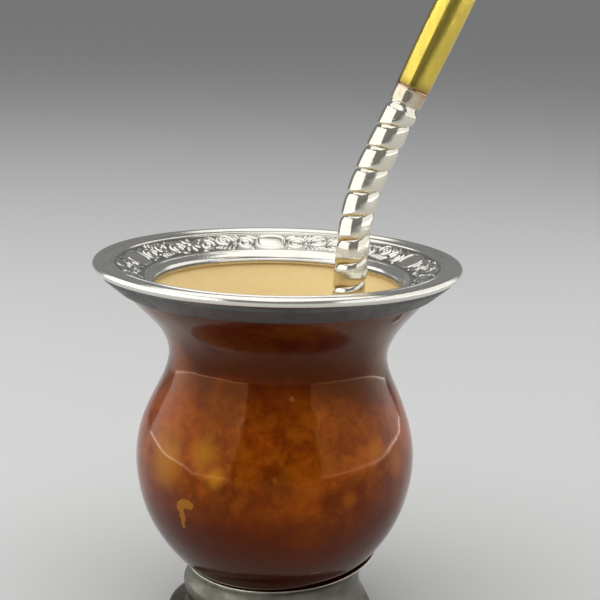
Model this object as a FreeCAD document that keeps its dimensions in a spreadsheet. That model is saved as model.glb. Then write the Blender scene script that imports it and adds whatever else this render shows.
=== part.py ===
import FreeCAD, Part

import math
import os

import Sketcher

from FreeCAD import Placement, Rotation, Vector

# A mate cup: a lacquered gourd with a spun metal rim, a conical skirt and a waisted base collar,
# and the drinking straw that stands in it. Frame: origin on the cup's axis at the underside of
# the foot, +Z up, X across the cup towards the side where the straw leans. Millimetres.

os.makedirs("parts", exist_ok=True)
doc = FreeCAD.newDocument("mate_cup")
sheet = doc.addObject("Spreadsheet::Sheet", "sizes")

# Driving dimensions

SIZES = [
    # The metal rim: a bead round the edge, a flat ring, a sloping band and a throat
    ("rim_height", 90.0),
    ("rim_radius", 45.0),
    ("bead_radius", 1.2),
    ("plate_thickness", 0.8),
    ("plate_rise", 0.45),
    ("ring_width", 4.9),
    ("band_width", 7.6),
    ("band_drop", 3.4),
    ("throat_step", 2.5),
    ("throat_depth", 6.0),
    ("throat_wall", 0.8),
    ("outer_line_radius", 0.45),
    ("inner_line_radius", 0.55),
    # The skirt under the rim
    ("skirt_inset", 1.9),
    ("skirt_taper", 4.4),
    ("skirt_neck_depth", 1.4),
    ("skirt_shoulder_depth", 2.2),
    ("skirt_depth", 5.9),
    ("skirt_thickness", 0.7),
    ("skirt_clearance", 0.1),
    # The gourd
    ("gourd_wall", 5.1),
    ("neck_depth", 22.0),
    ("neck_radius", 27.0),
    ("neck_shift", 0.65),
    ("neck_wall", 6.6),
    ("belly_height", 41.0),
    ("belly_radius", 34.6),
    ("belly_shift", 0.3),
    ("gourd_bottom", 5.0),
    ("seat_clearance", 0.3),
    # The base collar
    ("foot_radius", 26.2),
    ("foot_land", 1.5),
    ("foot_edge_height", 1.2),
    ("waist_radius", 22.4),
    ("waist_height", 8.6),
    ("lip_radius", 24.6),
    ("lip_tilt", 6.2),
    ("lip_tilt_direction", 45.0),
    ("lip_clearance", 0.4),
    ("collar_wall", 0.7),
    # The drinking straw
    ("straw_lean", 3.4),
    ("straw_bend_rise", 27.0),
    ("straw_bend_radius", 60.0),
    ("straw_bend_angle", 20.6),
    ("stem_radius", 4.1),
    ("coil_step", 0.55),
    ("stem_bore_radius", 2.7),
    ("coil_pitch", 5.82),
    ("coil_phase", 1.6),
    ("sleeve_run_out", 1.6),
    ("ferrule_start", 63.7),
    ("ferrule_length", 5.0),
    ("ferrule_radius", 3.95),
    ("straw_fit", 0.1),
    ("mouthpiece_radius", 4.1),
    ("mouthpiece_swell", 4.4),
    ("mouthpiece_length", 60.0),
    ("mouthpiece_wall", 0.5),
    ("tip_half_width", 4.8),
    ("tip_half_depth", 3.3),
    ("strainer_radius", 6.6),
    ("strainer_length", 30.0),
    ("strainer_wall", 0.6),
    ("slot_width", 0.9),
    ("slot_length", 13.0),
]

for row, (alias, value) in enumerate(SIZES, start=1):
    sheet.set(f"A{row}", alias)
    sheet.set(f"B{row}", str(value))
    sheet.setAlias(f"B{row}", alias)
doc.recompute()


def size(alias):
    """Value of one driving dimension."""
    return float(sheet.get(alias))


# Helpers that every sub-part uses

def bound(text):
    """Expression text with each driving dimension's name led by the sheet's name."""
    words = text.replace("(", " ( ").replace(")", " ) ").split()
    names = {alias for alias, _ in SIZES}
    return " ".join(f"sizes.{word}" if word in names else word for word in words)


def value_of(text):
    """Number that an expression in the driving dimensions gives now."""
    return float(doc.getObject("sizes").evalExpression(bound(text)))


def new_body(label):
    """Empty body that becomes one sub-part."""
    body = doc.addObject("PartDesign::Body", label)
    body.Label = label
    return body


def plane_of(body, role):
    """Origin plane of a body, such as XY_Plane."""
    return next(feature for feature in body.Origin.OriginFeatures if feature.Role == role)


def new_sketch(body, name, role):
    """Empty sketch on one of the body's own origin planes."""
    sketch = body.newObject("Sketcher::SketchObject", name)
    sketch.AttachmentSupport = [(plane_of(body, role), "")]
    sketch.MapMode = "FlatFace"
    return sketch


def bind(sketch, constraint, name, text):
    """Adds a sketch constraint and binds it to an expression."""
    index = sketch.addConstraint(constraint)
    sketch.renameConstraint(index, name)
    sketch.setExpression(f"Constraints.{name}", bound(text))


def outline(body, name, corners):
    """Closed sketch in the XZ plane through corners given as (radius, height) expressions."""
    sketch = new_sketch(body, name, "XZ_Plane")
    places = [Vector(value_of(across), value_of(up), 0) for across, up in corners]
    count = len(places)
    for index in range(count):
        sketch.addGeometry(Part.LineSegment(places[index], places[(index + 1) % count]), False)
    for index in range(count):
        sketch.addConstraint(Sketcher.Constraint("Coincident", index, 2, (index + 1) % count, 1))
    for index, (across, up) in enumerate(corners):
        place = places[index]
        bind(sketch, Sketcher.Constraint("DistanceX", -1, 1, index, 1, place.x), f"across_{index}", across)
        bind(sketch, Sketcher.Constraint("DistanceY", -1, 1, index, 1, place.y), f"up_{index}", up)
    return sketch


def round_outline(body, name, across, up, radius):
    """Circle in the XZ plane, for a ring of round section."""
    sketch = new_sketch(body, name, "XZ_Plane")
    centre = Vector(value_of(across), value_of(up), 0)
    sketch.addGeometry(Part.Circle(centre, Vector(0, 0, 1), value_of(radius)), False)
    bind(sketch, Sketcher.Constraint("Radius", 0, value_of(radius)), "ring_radius", radius)
    bind(sketch, Sketcher.Constraint("DistanceX", -1, 1, 0, 3, centre.x), "across", across)
    bind(sketch, Sketcher.Constraint("DistanceY", -1, 1, 0, 3, centre.y), "up", up)
    return sketch


def revolve(body, name, sketch):
    """Turns a sketch once round the body's upright axis."""
    feature = body.newObject("PartDesign::Revolution", name)
    feature.Profile = sketch
    feature.ReferenceAxis = (sketch, ["V_Axis"])
    feature.Angle = 360
    return feature


def level_circle(body, name, radius, up, shift="0"):
    """Circle in a level plane at a height, its centre moved along X by shift."""
    sketch = new_sketch(body, name, "XY_Plane")
    sketch.addGeometry(Part.Circle(Vector(0, 0, 0), Vector(0, 0, 1), value_of(radius)), False)
    sketch.addConstraint(Sketcher.Constraint("Coincident", 0, 3, -1, 1))
    bind(sketch, Sketcher.Constraint("Radius", 0, value_of(radius)), "ring_radius", radius)
    sketch.setExpression("AttachmentOffset.Base.x", bound(shift))
    sketch.setExpression("AttachmentOffset.Base.z", bound(up))
    return sketch


def loft(body, name, sections, kind="PartDesign::AdditiveLoft"):
    """Smooth loft through sketches, from the first to the last."""
    feature = body.newObject(kind, name)
    feature.Profile = sections[0]
    feature.Sections = sections[1:]
    feature.Ruled = False
    feature.Closed = False
    return feature


# The rim plate: one spun sheet, rolled into a bead at its edge and turned down at the throat

PLATE_TOP = "rim_height + plate_rise"
PLATE_UNDER = "rim_height + plate_rise - plate_thickness"
BAND_FOOT = "rim_height + plate_rise - band_drop"
BEAD_LINE = "rim_radius - bead_radius"
BAND_OUTER = "rim_radius - ring_width"
BAND_INNER = "rim_radius - ring_width - band_width"
THROAT = "rim_radius - ring_width - band_width - throat_step"
THROAT_FOOT = "rim_height - throat_depth"

rim_plate = new_body("rim_plate")
plate_outline = outline(rim_plate, "plate_outline", [
    (BEAD_LINE, PLATE_UNDER),
    (BEAD_LINE, PLATE_TOP),
    (BAND_OUTER, PLATE_TOP),
    (BAND_INNER, BAND_FOOT),
    (f"{THROAT} + throat_wall", f"{BAND_FOOT} - throat_wall"),
    (THROAT, f"{BAND_FOOT} - 2 * throat_wall"),
    (THROAT, THROAT_FOOT),
    (f"{THROAT} + throat_wall", THROAT_FOOT),
    (f"{THROAT} + throat_wall", f"{BAND_FOOT} - 2.4 * throat_wall"),
    (f"{BAND_INNER} + 0.2 * plate_thickness", f"{BAND_FOOT} - plate_thickness"),
    (f"{BAND_OUTER} + 0.2 * plate_thickness", PLATE_UNDER),
])
revolve(rim_plate, "plate", plate_outline)
bead_outline = round_outline(rim_plate, "bead_outline", BEAD_LINE, "rim_height", "bead_radius")
revolve(rim_plate, "bead", bead_outline)
outer_line = round_outline(rim_plate, "outer_line_outline", BAND_OUTER, PLATE_TOP, "outer_line_radius")
revolve(rim_plate, "outer_line", outer_line)
inner_line = round_outline(rim_plate, "inner_line_outline", BAND_INNER, BAND_FOOT, "inner_line_radius")
revolve(rim_plate, "inner_line", inner_line)
doc.recompute()

# The skirt: a cone of sheet that hangs from the flat of the plate and hugs the gourd's flare

SKIRT_NECK = "rim_radius - 2 * bead_radius - skirt_clearance"
SKIRT_TOP = "rim_radius - skirt_inset"
SKIRT_END = "rim_radius - skirt_inset - skirt_taper"
SKIRT_SHOULDER = "rim_height - skirt_shoulder_depth"
SKIRT_LINE = "rim_height - skirt_depth"

rim_skirt = new_body("rim_skirt")
skirt_outline = outline(rim_skirt, "skirt_outline", [
    (f"{SKIRT_NECK} - skirt_thickness", PLATE_UNDER),
    (SKIRT_NECK, PLATE_UNDER),
    (SKIRT_TOP, "rim_height - skirt_neck_depth"),
    (SKIRT_TOP, SKIRT_SHOULDER),
    (SKIRT_END, SKIRT_LINE),
    (f"{SKIRT_END} - skirt_thickness", SKIRT_LINE),
    (f"{SKIRT_TOP} - skirt_thickness", f"{SKIRT_SHOULDER} + 0.6 * skirt_thickness"),
])
revolve(rim_skirt, "skirt", skirt_outline)
doc.recompute()

# The gourd: lofted rings, each a little off the axis as the fruit grew, hollowed by inner rings

NECK = "rim_height - neck_depth"
UPPER_BELLY = f"{NECK} - belly_height"
FLARE_RISE = f"{SKIRT_LINE} - ( {NECK} )"
FLARE_END = f"{SKIRT_END} - skirt_thickness - seat_clearance"
FLARE_REACH = f"{FLARE_END} - neck_radius"

# Each ring: name, height, radius, shift along X, wall
GOURD_RINGS = [
    ("tail", "gourd_bottom", "0.18 * belly_radius", "belly_shift", None),
    ("hip", "gourd_bottom + 0.09 * belly_height", "0.41 * belly_radius", "belly_shift", None),
    ("seat", "gourd_bottom + 0.22 * belly_height", "0.64 * belly_radius", "belly_shift", "1.75 * gourd_wall"),
    ("lower", "gourd_bottom + 0.39 * belly_height", "0.82 * belly_radius", "belly_shift", "1.2 * gourd_wall"),
    ("waist", "gourd_bottom + 0.61 * belly_height", "0.951 * belly_radius", "belly_shift", "1.02 * gourd_wall"),
    ("belly", "belly_height", "belly_radius", "belly_shift", "gourd_wall"),
    ("upper", f"belly_height + 0.407 * ( {UPPER_BELLY} )", "0.948 * belly_radius", "belly_shift", "1.08 * gourd_wall"),
    ("shoulder", f"{NECK} - 0.26 * ( {UPPER_BELLY} )", "0.75 * neck_radius + 0.25 * belly_radius", "neck_shift",
     "0.955 * neck_wall"),
    ("neck", NECK, "neck_radius", "neck_shift", "neck_wall"),
    ("flare_foot", f"{NECK} + 0.466 * ( {FLARE_RISE} )", f"neck_radius + 0.276 * ( {FLARE_REACH} )", "neck_shift",
     "neck_wall"),
    ("flare", f"{NECK} + 0.714 * ( {FLARE_RISE} )", f"neck_radius + 0.607 * ( {FLARE_REACH} )", "0.5 * neck_shift",
     "1.28 * gourd_wall"),
    ("skirt_line", SKIRT_LINE, FLARE_END, "0", "1.3 * gourd_wall"),
    ("mouth", SKIRT_SHOULDER, f"{SKIRT_TOP} - 1.64 * skirt_thickness - seat_clearance", "0", "1.35 * gourd_wall"),
]

gourd_shell = new_body("gourd_shell")
outer_rings = []
for name, height, radius, shift, wall in GOURD_RINGS:
    outer_rings.append(level_circle(gourd_shell, f"{name}_ring", radius, height, shift))
loft(gourd_shell, "gourd_outside", outer_rings)
doc.recompute()
inner_rings = []
floor_height = "gourd_bottom + 1.25 * gourd_wall"
inner_rings.append(level_circle(gourd_shell, "floor_ring", "0.15 * belly_radius", floor_height, "belly_shift"))
for name, height, radius, shift, wall in GOURD_RINGS:
    if wall is not None:
        inner_rings.append(level_circle(gourd_shell, f"{name}_inner_ring", f"{radius} - {wall}", height, shift))
loft(gourd_shell, "gourd_inside", inner_rings, "PartDesign::SubtractiveLoft")
doc.recompute()

# The mouth of the gourd is trimmed to lie under the rim plate, and is open inside the throat
trim_outline = outline(gourd_shell, "trim_outline", [
    ("0", "rim_height + bead_radius"),
    ("0", f"{THROAT_FOOT} - seat_clearance"),
    (f"{THROAT} + throat_wall + seat_clearance", f"{THROAT_FOOT} - seat_clearance"),
    (f"{THROAT} + throat_wall + seat_clearance", f"{BAND_FOOT} - 3 * throat_wall - seat_clearance"),
    (f"{BAND_INNER} + plate_thickness", f"{BAND_FOOT} - plate_thickness - 1.2 * seat_clearance"),
    (f"{BAND_OUTER} + plate_thickness", f"{PLATE_UNDER} - 1.2 * seat_clearance"),
    ("rim_radius", f"{PLATE_UNDER} - 1.2 * seat_clearance"),
    ("rim_radius", "rim_height + bead_radius"),
])
trim = gourd_shell.newObject("PartDesign::Groove", "trim")
trim.Profile = trim_outline
trim.ReferenceAxis = (trim_outline, ["V_Axis"])
trim.Angle = 360
doc.recompute()

# The base collar: a waisted sheet ring, level at the foot, its lip tilted to the gourd's underside

collar_bottom = "0"
base_ring = new_body("base_ring")


def lip_sketch(name, inset):
    """Tilted circle that stands just off the gourd, turned about the centre of its belly."""
    sketch = new_sketch(base_ring, name, "XY_Plane")
    radius = f"lip_radius - {inset}"
    sketch.addGeometry(Part.Circle(Vector(0, 0, 0), Vector(0, 0, 1), value_of(radius)), False)
    sketch.addConstraint(Sketcher.Constraint("Coincident", 0, 3, -1, 1))
    bind(sketch, Sketcher.Constraint("Radius", 0, value_of(radius)), "ring_radius", radius)
    azimuth = math.radians(size("lip_tilt_direction"))
    tilt = math.radians(size("lip_tilt"))
    reach = size("belly_radius") + size("lip_clearance") + size("collar_wall")
    drop = math.sqrt(reach ** 2 - size("lip_radius") ** 2)
    down = Vector(math.sin(tilt) * math.cos(azimuth), math.sin(tilt) * math.sin(azimuth), -math.cos(tilt))
    centre = Vector(size("belly_shift"), 0, size("belly_height")) + down * drop
    axis = Vector(math.sin(azimuth), -math.cos(azimuth), 0)
    sketch.AttachmentOffset = Placement(centre, Rotation(axis, size("lip_tilt")))
    return sketch


collar_outside = [
    level_circle(base_ring, "foot_ring", "foot_radius", collar_bottom),
    level_circle(base_ring, "foot_edge_ring", "foot_radius - 0.3 * foot_land", "foot_edge_height"),
    level_circle(base_ring, "waist_ring", "waist_radius", "waist_height", "0.5 * belly_shift"),
    lip_sketch("lip_ring", "0"),
]
loft(base_ring, "collar_outside", collar_outside)
doc.recompute()
collar_inside = [
    level_circle(base_ring, "foot_inner_ring", "foot_radius - foot_land", collar_bottom),
    level_circle(base_ring, "foot_edge_inner_ring", "foot_radius - 1.1 * foot_land", "foot_edge_height"),
    level_circle(base_ring, "waist_inner_ring", "waist_radius - collar_wall", "waist_height", "0.5 * belly_shift"),
    lip_sketch("lip_inner_ring", "collar_wall"),
]
loft(base_ring, "collar_inside", collar_inside, "PartDesign::SubtractiveLoft")
doc.recompute()


# The straw's centre line: straight and nearly upright in the cup, one bend, straight again

def straw_turn(distance):
    """Lean of the straw from the upright, in degrees, at a distance above the neck."""
    lean = size("straw_lean")
    bend_length = math.radians(size("straw_bend_angle")) * size("straw_bend_radius")
    share = (distance - size("straw_bend_rise")) / bend_length
    return lean + size("straw_bend_angle") * min(max(share, 0.0), 1.0)


def straw_centre(distance):
    """Point on the straw's centre line at a distance above the point where it leans on the neck."""
    lean = math.radians(size("straw_lean"))
    reach = size("neck_radius") - size("neck_wall") - size("seat_clearance")
    side = size("neck_shift") + reach - size("stem_radius") / math.cos(lean)
    place = Vector(side, 0, value_of(NECK))
    rise = size("straw_bend_rise")
    place += Vector(math.sin(lean), 0, math.cos(lean)) * min(distance, rise)
    if distance <= rise:
        return place
    bend = size("straw_bend_radius")
    angle = math.radians(straw_turn(distance))
    place += Vector(math.cos(lean) - math.cos(angle), 0, math.sin(angle) - math.sin(lean)) * bend
    spare = distance - rise - (angle - lean) * bend
    return place + Vector(math.sin(angle), 0, math.cos(angle)) * spare


def straw_placement(distance):
    """Placement whose Z axis runs up the straw at a distance above the neck."""
    return Placement(straw_centre(distance), Rotation(Vector(0, 1, 0), straw_turn(distance)))


# The strainer: a long hollow bulb with slots, on the lower end of the stem

# Outer profile from the closed end up: radius, height
BULB_PROFILE = [
    ("0.62 * strainer_radius", "0.06 * strainer_length"),
    ("0.93 * strainer_radius", "0.22 * strainer_length"),
    ("strainer_radius", "0.48 * strainer_length"),
    ("0.86 * strainer_radius", "0.72 * strainer_length"),
    ("stem_radius - coil_step + straw_fit + strainer_wall", "0.86 * strainer_length"),
]
BULB_TOP = "strainer_length"

strainer = new_body("strainer")
bulb_corners = [("0", "0")] + BULB_PROFILE + [(BULB_PROFILE[-1][0], BULB_TOP), ("0", BULB_TOP)]
revolve(strainer, "bulb", outline(strainer, "bulb_outline", bulb_corners))
hollow_corners = [("0", "strainer_wall")]
hollow_corners += [(f"{across} - strainer_wall", f"{up} + 0.6 * strainer_wall") for across, up in BULB_PROFILE]
hollow_corners += [(f"{BULB_PROFILE[-1][0]} - strainer_wall", BULB_TOP), ("0", BULB_TOP)]
hollow_outline = outline(strainer, "hollow_outline", hollow_corners)
hollow = strainer.newObject("PartDesign::Groove", "hollow")
hollow.Profile = hollow_outline
hollow.ReferenceAxis = (hollow_outline, ["V_Axis"])
hollow.Angle = 360
doc.recompute()

# One slot through both walls, repeated round the bulb
slot_sketch = new_sketch(strainer, "slot_outline", "XZ_Plane")
half_width = value_of("slot_width") / 2
slot_low = value_of("0.42 * strainer_length - slot_length / 2")
slot_high = value_of("0.42 * strainer_length + slot_length / 2")
slot_corners = [
    Vector(-half_width, slot_low, 0), Vector(half_width, slot_low, 0),
    Vector(half_width, slot_high, 0), Vector(-half_width, slot_high, 0),
]
for index in range(4):
    slot_sketch.addGeometry(Part.LineSegment(slot_corners[index], slot_corners[(index + 1) % 4]), False)
for index in range(4):
    slot_sketch.addConstraint(Sketcher.Constraint("Coincident", index, 2, (index + 1) % 4, 1))
for index, side in ((0, "-"), (1, "")):
    corner = slot_corners[index]
    bind(slot_sketch, Sketcher.Constraint("DistanceX", -1, 1, index, 1, corner.x), f"across_{index}",
         f"{side} slot_width / 2")
slot_sketch.addConstraint(Sketcher.Constraint("Horizontal", 0))
slot_sketch.addConstraint(Sketcher.Constraint("Vertical", 1))
slot_sketch.addConstraint(Sketcher.Constraint("Horizontal", 2))
slot_sketch.addConstraint(Sketcher.Constraint("Vertical", 3))
bind(slot_sketch, Sketcher.Constraint("DistanceY", -1, 1, 0, 1, slot_low), "low",
     "0.42 * strainer_length - slot_length / 2")
bind(slot_sketch, Sketcher.Constraint("DistanceY", 1, 1, 1, 2, slot_high - slot_low), "tall", "slot_length")
slot = strainer.newObject("PartDesign::Pocket", "slot")
slot.Profile = slot_sketch
slot.Type = "ThroughAll"
slot.Midplane = True
doc.recompute()
slots = strainer.newObject("PartDesign::PolarPattern", "slots")
slots.Originals = [slot]
slots.Axis = (slot_sketch, ["V_Axis"])
slots.Angle = 180
slots.Occurrences = 6
strainer.Tip = slots
doc.recompute()


def strainer_seat():
    """Distance below the neck at which the strainer's end comes to rest on the gourd's inside."""
    gap = size("seat_clearance")
    shape = strainer.Shape.copy()
    high = -(size("strainer_length") + size("coil_pitch"))
    low = -value_of(NECK)
    for _ in range(14):
        middle = (high + low) / 2
        shape.Placement = straw_placement(middle)
        if shape.distToShape(gourd_shell.Shape)[0] < gap:
            low = middle
        else:
            high = middle
    return high


straw_foot = strainer_seat()
strainer.Placement = straw_placement(straw_foot)

# The stem: a strip wound into a tube, so each turn is a flared cup that hides the top of the next.
# Its skin is ruled strips between helical edges, and its two ends stay as wound, inside the sleeves.

# Each edge of a turn's profile: share of the pitch above its lower lip, share of the step's depth
TURN_PROFILE = [(0.0, 0.0), (0.04, 0.94), (0.14, 1.0), (0.5, 0.82), (0.86, 0.3)]
BORE_PROFILE = [(0.0, 0.0), (0.5, 0.0)]
STATIONS = 12


def stem_edge(start, radius, depth):
    """One turn of a helical edge, raised by a share of the coil's step except where a sleeve covers it."""
    points = []
    for station in range(STATIONS + 1):
        turn = station / STATIONS
        distance = start + size("coil_pitch") * turn
        bare = min(distance - sleeve_low, sleeve_high - distance) / size("sleeve_run_out") - 0.5
        reach = radius + size("coil_step") * depth * min(max(bare, 0.0), 1.0)
        lean = math.radians(straw_turn(distance))
        angle = 2 * math.pi * turn
        side = Vector(math.cos(lean), 0, -math.sin(lean)) * math.cos(angle)
        points.append(straw_centre(distance) + (side + Vector(0, 1, 0) * math.sin(angle)) * reach)
    curve = Part.BSplineCurve()
    curve.interpolate(Points=points, Parameters=[float(station) for station in range(STATIONS + 1)])
    return curve


def stem_edges(low, turns, radius, profile):
    """Helical edges of a wall of the stem, turn after turn, with the last turn's closing edge."""
    pitch = size("coil_pitch")
    starts = [low + pitch * (turn + share) for turn in range(turns) for share, _ in profile]
    depths = [depth for _ in range(turns) for _, depth in profile]
    edges = [stem_edge(start, radius, depth) for start, depth in zip(starts, depths)]
    return edges + [stem_edge(low + pitch * turns, radius, 0.0)]


def strip(lower, upper):
    """Ruled face between two helical edges of one turn."""
    surface = Part.BSplineSurface()
    surface.buildFromPolesMultsKnots(
        [lower.getPoles(), upper.getPoles()], [2, 2], lower.getMultiplicities(), [0.0, 1.0], lower.getKnots(),
        False, False, 1, lower.Degree)
    return surface.toShape()


def stem_shape(low, turns):
    """Solid of the wound stem: a number of turns from a distance along the straw's centre line."""
    skin = stem_edges(low, turns, size("stem_radius") - size("coil_step"), TURN_PROFILE)
    bore = stem_edges(low, turns, size("stem_bore_radius"), BORE_PROFILE)
    faces = [strip(lower, upper) for row in (skin, bore) for lower, upper in zip(row, row[1:])]
    faces += [strip(skin[0], bore[0]), strip(skin[-1], bore[-1])]
    outer = len(TURN_PROFILE) + 1
    inner = len(BORE_PROFILE) + 1
    cut_low = [edge.StartPoint for edge in skin[:outer] + bore[:inner][::-1]]
    cut_high = [edge.EndPoint for edge in skin[-outer:] + bore[-inner:][::-1]]
    for corners in (cut_low, cut_high):
        faces.append(Part.Face(Part.makePolygon(corners + corners[:1])))
    shell = Part.makeShell(faces)
    shell.sewShape()
    solid = Part.makeSolid(shell)
    return solid if solid.Volume > 0 else solid.reversed()


sleeve_low = straw_foot + size("strainer_length")
sleeve_high = size("ferrule_start")
pitch = size("coil_pitch")
hidden = size("sleeve_run_out")
stem_low = size("coil_phase") + pitch * math.floor((sleeve_low - hidden - pitch - size("coil_phase")) / pitch)
stem_turns = math.ceil((sleeve_high + hidden - stem_low) / pitch)
stem = doc.addObject("Part::Feature", "straw_stem")
stem.Label = "straw_stem"
stem.Shape = stem_shape(stem_low, stem_turns)

# The ferrule: a plain sleeve soldered over the top of the stem

ferrule = new_body("straw_ferrule")
ferrule_sketch = outline(ferrule, "ferrule_outline", [
    ("stem_radius - coil_step + straw_fit", "0"),
    ("ferrule_radius", "0"),
    ("ferrule_radius", "ferrule_length"),
    ("stem_radius - coil_step + straw_fit", "ferrule_length"),
])
revolve(ferrule, "sleeve", ferrule_sketch)
ferrule.Placement = straw_placement(size("ferrule_start"))

# The mouthpiece: a brass tube that swells a little and flattens at the lips

mouthpiece = new_body("straw_mouthpiece")


def tube_ellipse(name, half_width, half_depth, up):
    """Level ellipse, wider across the straw's bend than along it, or round where both match."""
    sketch = new_sketch(mouthpiece, name, "XY_Plane")
    wide = value_of(half_width)
    deep = value_of(half_depth)
    if abs(wide - deep) < 1e-6:
        sketch.addGeometry(Part.Circle(Vector(0, 0, 0), Vector(0, 0, 1), wide), False)
        sketch.addConstraint(Sketcher.Constraint("Coincident", 0, 3, -1, 1))
        bind(sketch, Sketcher.Constraint("Radius", 0, wide), "ring_radius", half_width)
    else:
        shape = Part.Ellipse(Vector(0, wide, 0), Vector(deep, 0, 0), Vector(0, 0, 0))
        sketch.addGeometry(shape, False)
        sketch.exposeInternalGeometry(0)
        sketch.addConstraint(Sketcher.Constraint("Coincident", 0, 3, -1, 1))
        sketch.addConstraint(Sketcher.Constraint("Vertical", 1))
        bind(sketch, Sketcher.Constraint("Distance", 1, 2 * wide), "tip_width", f"2 * ( {half_width} )")
        bind(sketch, Sketcher.Constraint("Distance", 2, 2 * deep), "tip_depth", f"2 * ( {half_depth} )")
    sketch.setExpression("AttachmentOffset.Base.z", bound(up))
    return sketch


outside = [
    tube_ellipse("foot_outside", "mouthpiece_radius", "mouthpiece_radius", "0"),
    tube_ellipse("swell_outside", "mouthpiece_swell", "mouthpiece_swell", "0.4 * mouthpiece_length"),
    tube_ellipse("tip_outside", "tip_half_width", "tip_half_depth", "mouthpiece_length"),
]
loft(mouthpiece, "tube_outside", outside)
doc.recompute()
inside = [
    tube_ellipse("foot_inside", "mouthpiece_radius - mouthpiece_wall", "mouthpiece_radius - mouthpiece_wall", "0"),
    tube_ellipse("swell_inside", "mouthpiece_swell - mouthpiece_wall", "mouthpiece_swell - mouthpiece_wall",
                 "0.4 * mouthpiece_length"),
    tube_ellipse("tip_inside", "tip_half_width - mouthpiece_wall", "tip_half_depth - mouthpiece_wall",
                 "mouthpiece_length"),
]
loft(mouthpiece, "tube_inside", inside, "PartDesign::SubtractiveLoft")
mouthpiece.Placement = straw_placement(size("ferrule_start") + size("ferrule_length"))
doc.recompute()

# Checks and the files

for item in doc.Objects:
    if "Invalid" in item.State or "Error" in item.State:
        raise RuntimeError(f"{item.Name} is not up to date: {item.State}")

NODES = [rim_plate, rim_skirt, gourd_shell, base_ring, strainer, stem, ferrule, mouthpiece]
for node in NODES:
    shape = node.Shape
    if shape.isNull() or not shape.isValid() or not shape.Solids:
        raise RuntimeError(f"{node.Label} has no sound solid")
    print(node.Label, "solids", len(shape.Solids), "volume", round(shape.Volume, 1), "faces", len(shape.Faces))
    shape.exportStep(f"parts/{node.Label}.step")
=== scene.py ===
"""Mate cup: the fine form and the finishes of a gourd cup and its drinking straw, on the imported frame."""

import logging
import math
from dataclasses import dataclass, field
from enum import Enum
from typing import Any, Callable, Optional, Sequence

import bpy
import numpy as np
from bpy.types import Material, Mesh, Node, NodeSocket, NodeTree, Object
from mathutils import Matrix, Vector, noise
from mathutils.bvhtree import BVHTree


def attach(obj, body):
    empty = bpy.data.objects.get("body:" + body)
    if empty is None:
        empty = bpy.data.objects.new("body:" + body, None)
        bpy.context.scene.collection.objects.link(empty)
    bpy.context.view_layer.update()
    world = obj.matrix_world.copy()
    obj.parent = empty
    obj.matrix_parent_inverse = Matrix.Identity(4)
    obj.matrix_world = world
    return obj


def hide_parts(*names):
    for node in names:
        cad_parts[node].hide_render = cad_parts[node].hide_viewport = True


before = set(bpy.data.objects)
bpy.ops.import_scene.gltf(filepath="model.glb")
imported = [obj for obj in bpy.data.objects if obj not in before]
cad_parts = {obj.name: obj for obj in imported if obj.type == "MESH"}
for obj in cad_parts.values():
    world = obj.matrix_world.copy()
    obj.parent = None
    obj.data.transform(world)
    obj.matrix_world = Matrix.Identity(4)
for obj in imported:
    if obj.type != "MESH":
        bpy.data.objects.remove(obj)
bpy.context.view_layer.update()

BODY = "root"
MM = 0.001
TURN = 2.0 * math.pi

Triple = tuple[float, float, float]

log = logging.getLogger("mate_cup")


class Ends(Enum):
    """How a mesh made of rings ends."""

    LOOPED = "the last ring joins the first"
    CAPPED = "each end closes at a point"


class Motif(Enum):
    """Raised forms in the rim band's relief."""

    DROP = "a leaf-like drop with a crease along it"
    DOME = "a smooth low dome"
    RING = "a closed raised line"
    SCROLL = "a raised line that curls in"


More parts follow.
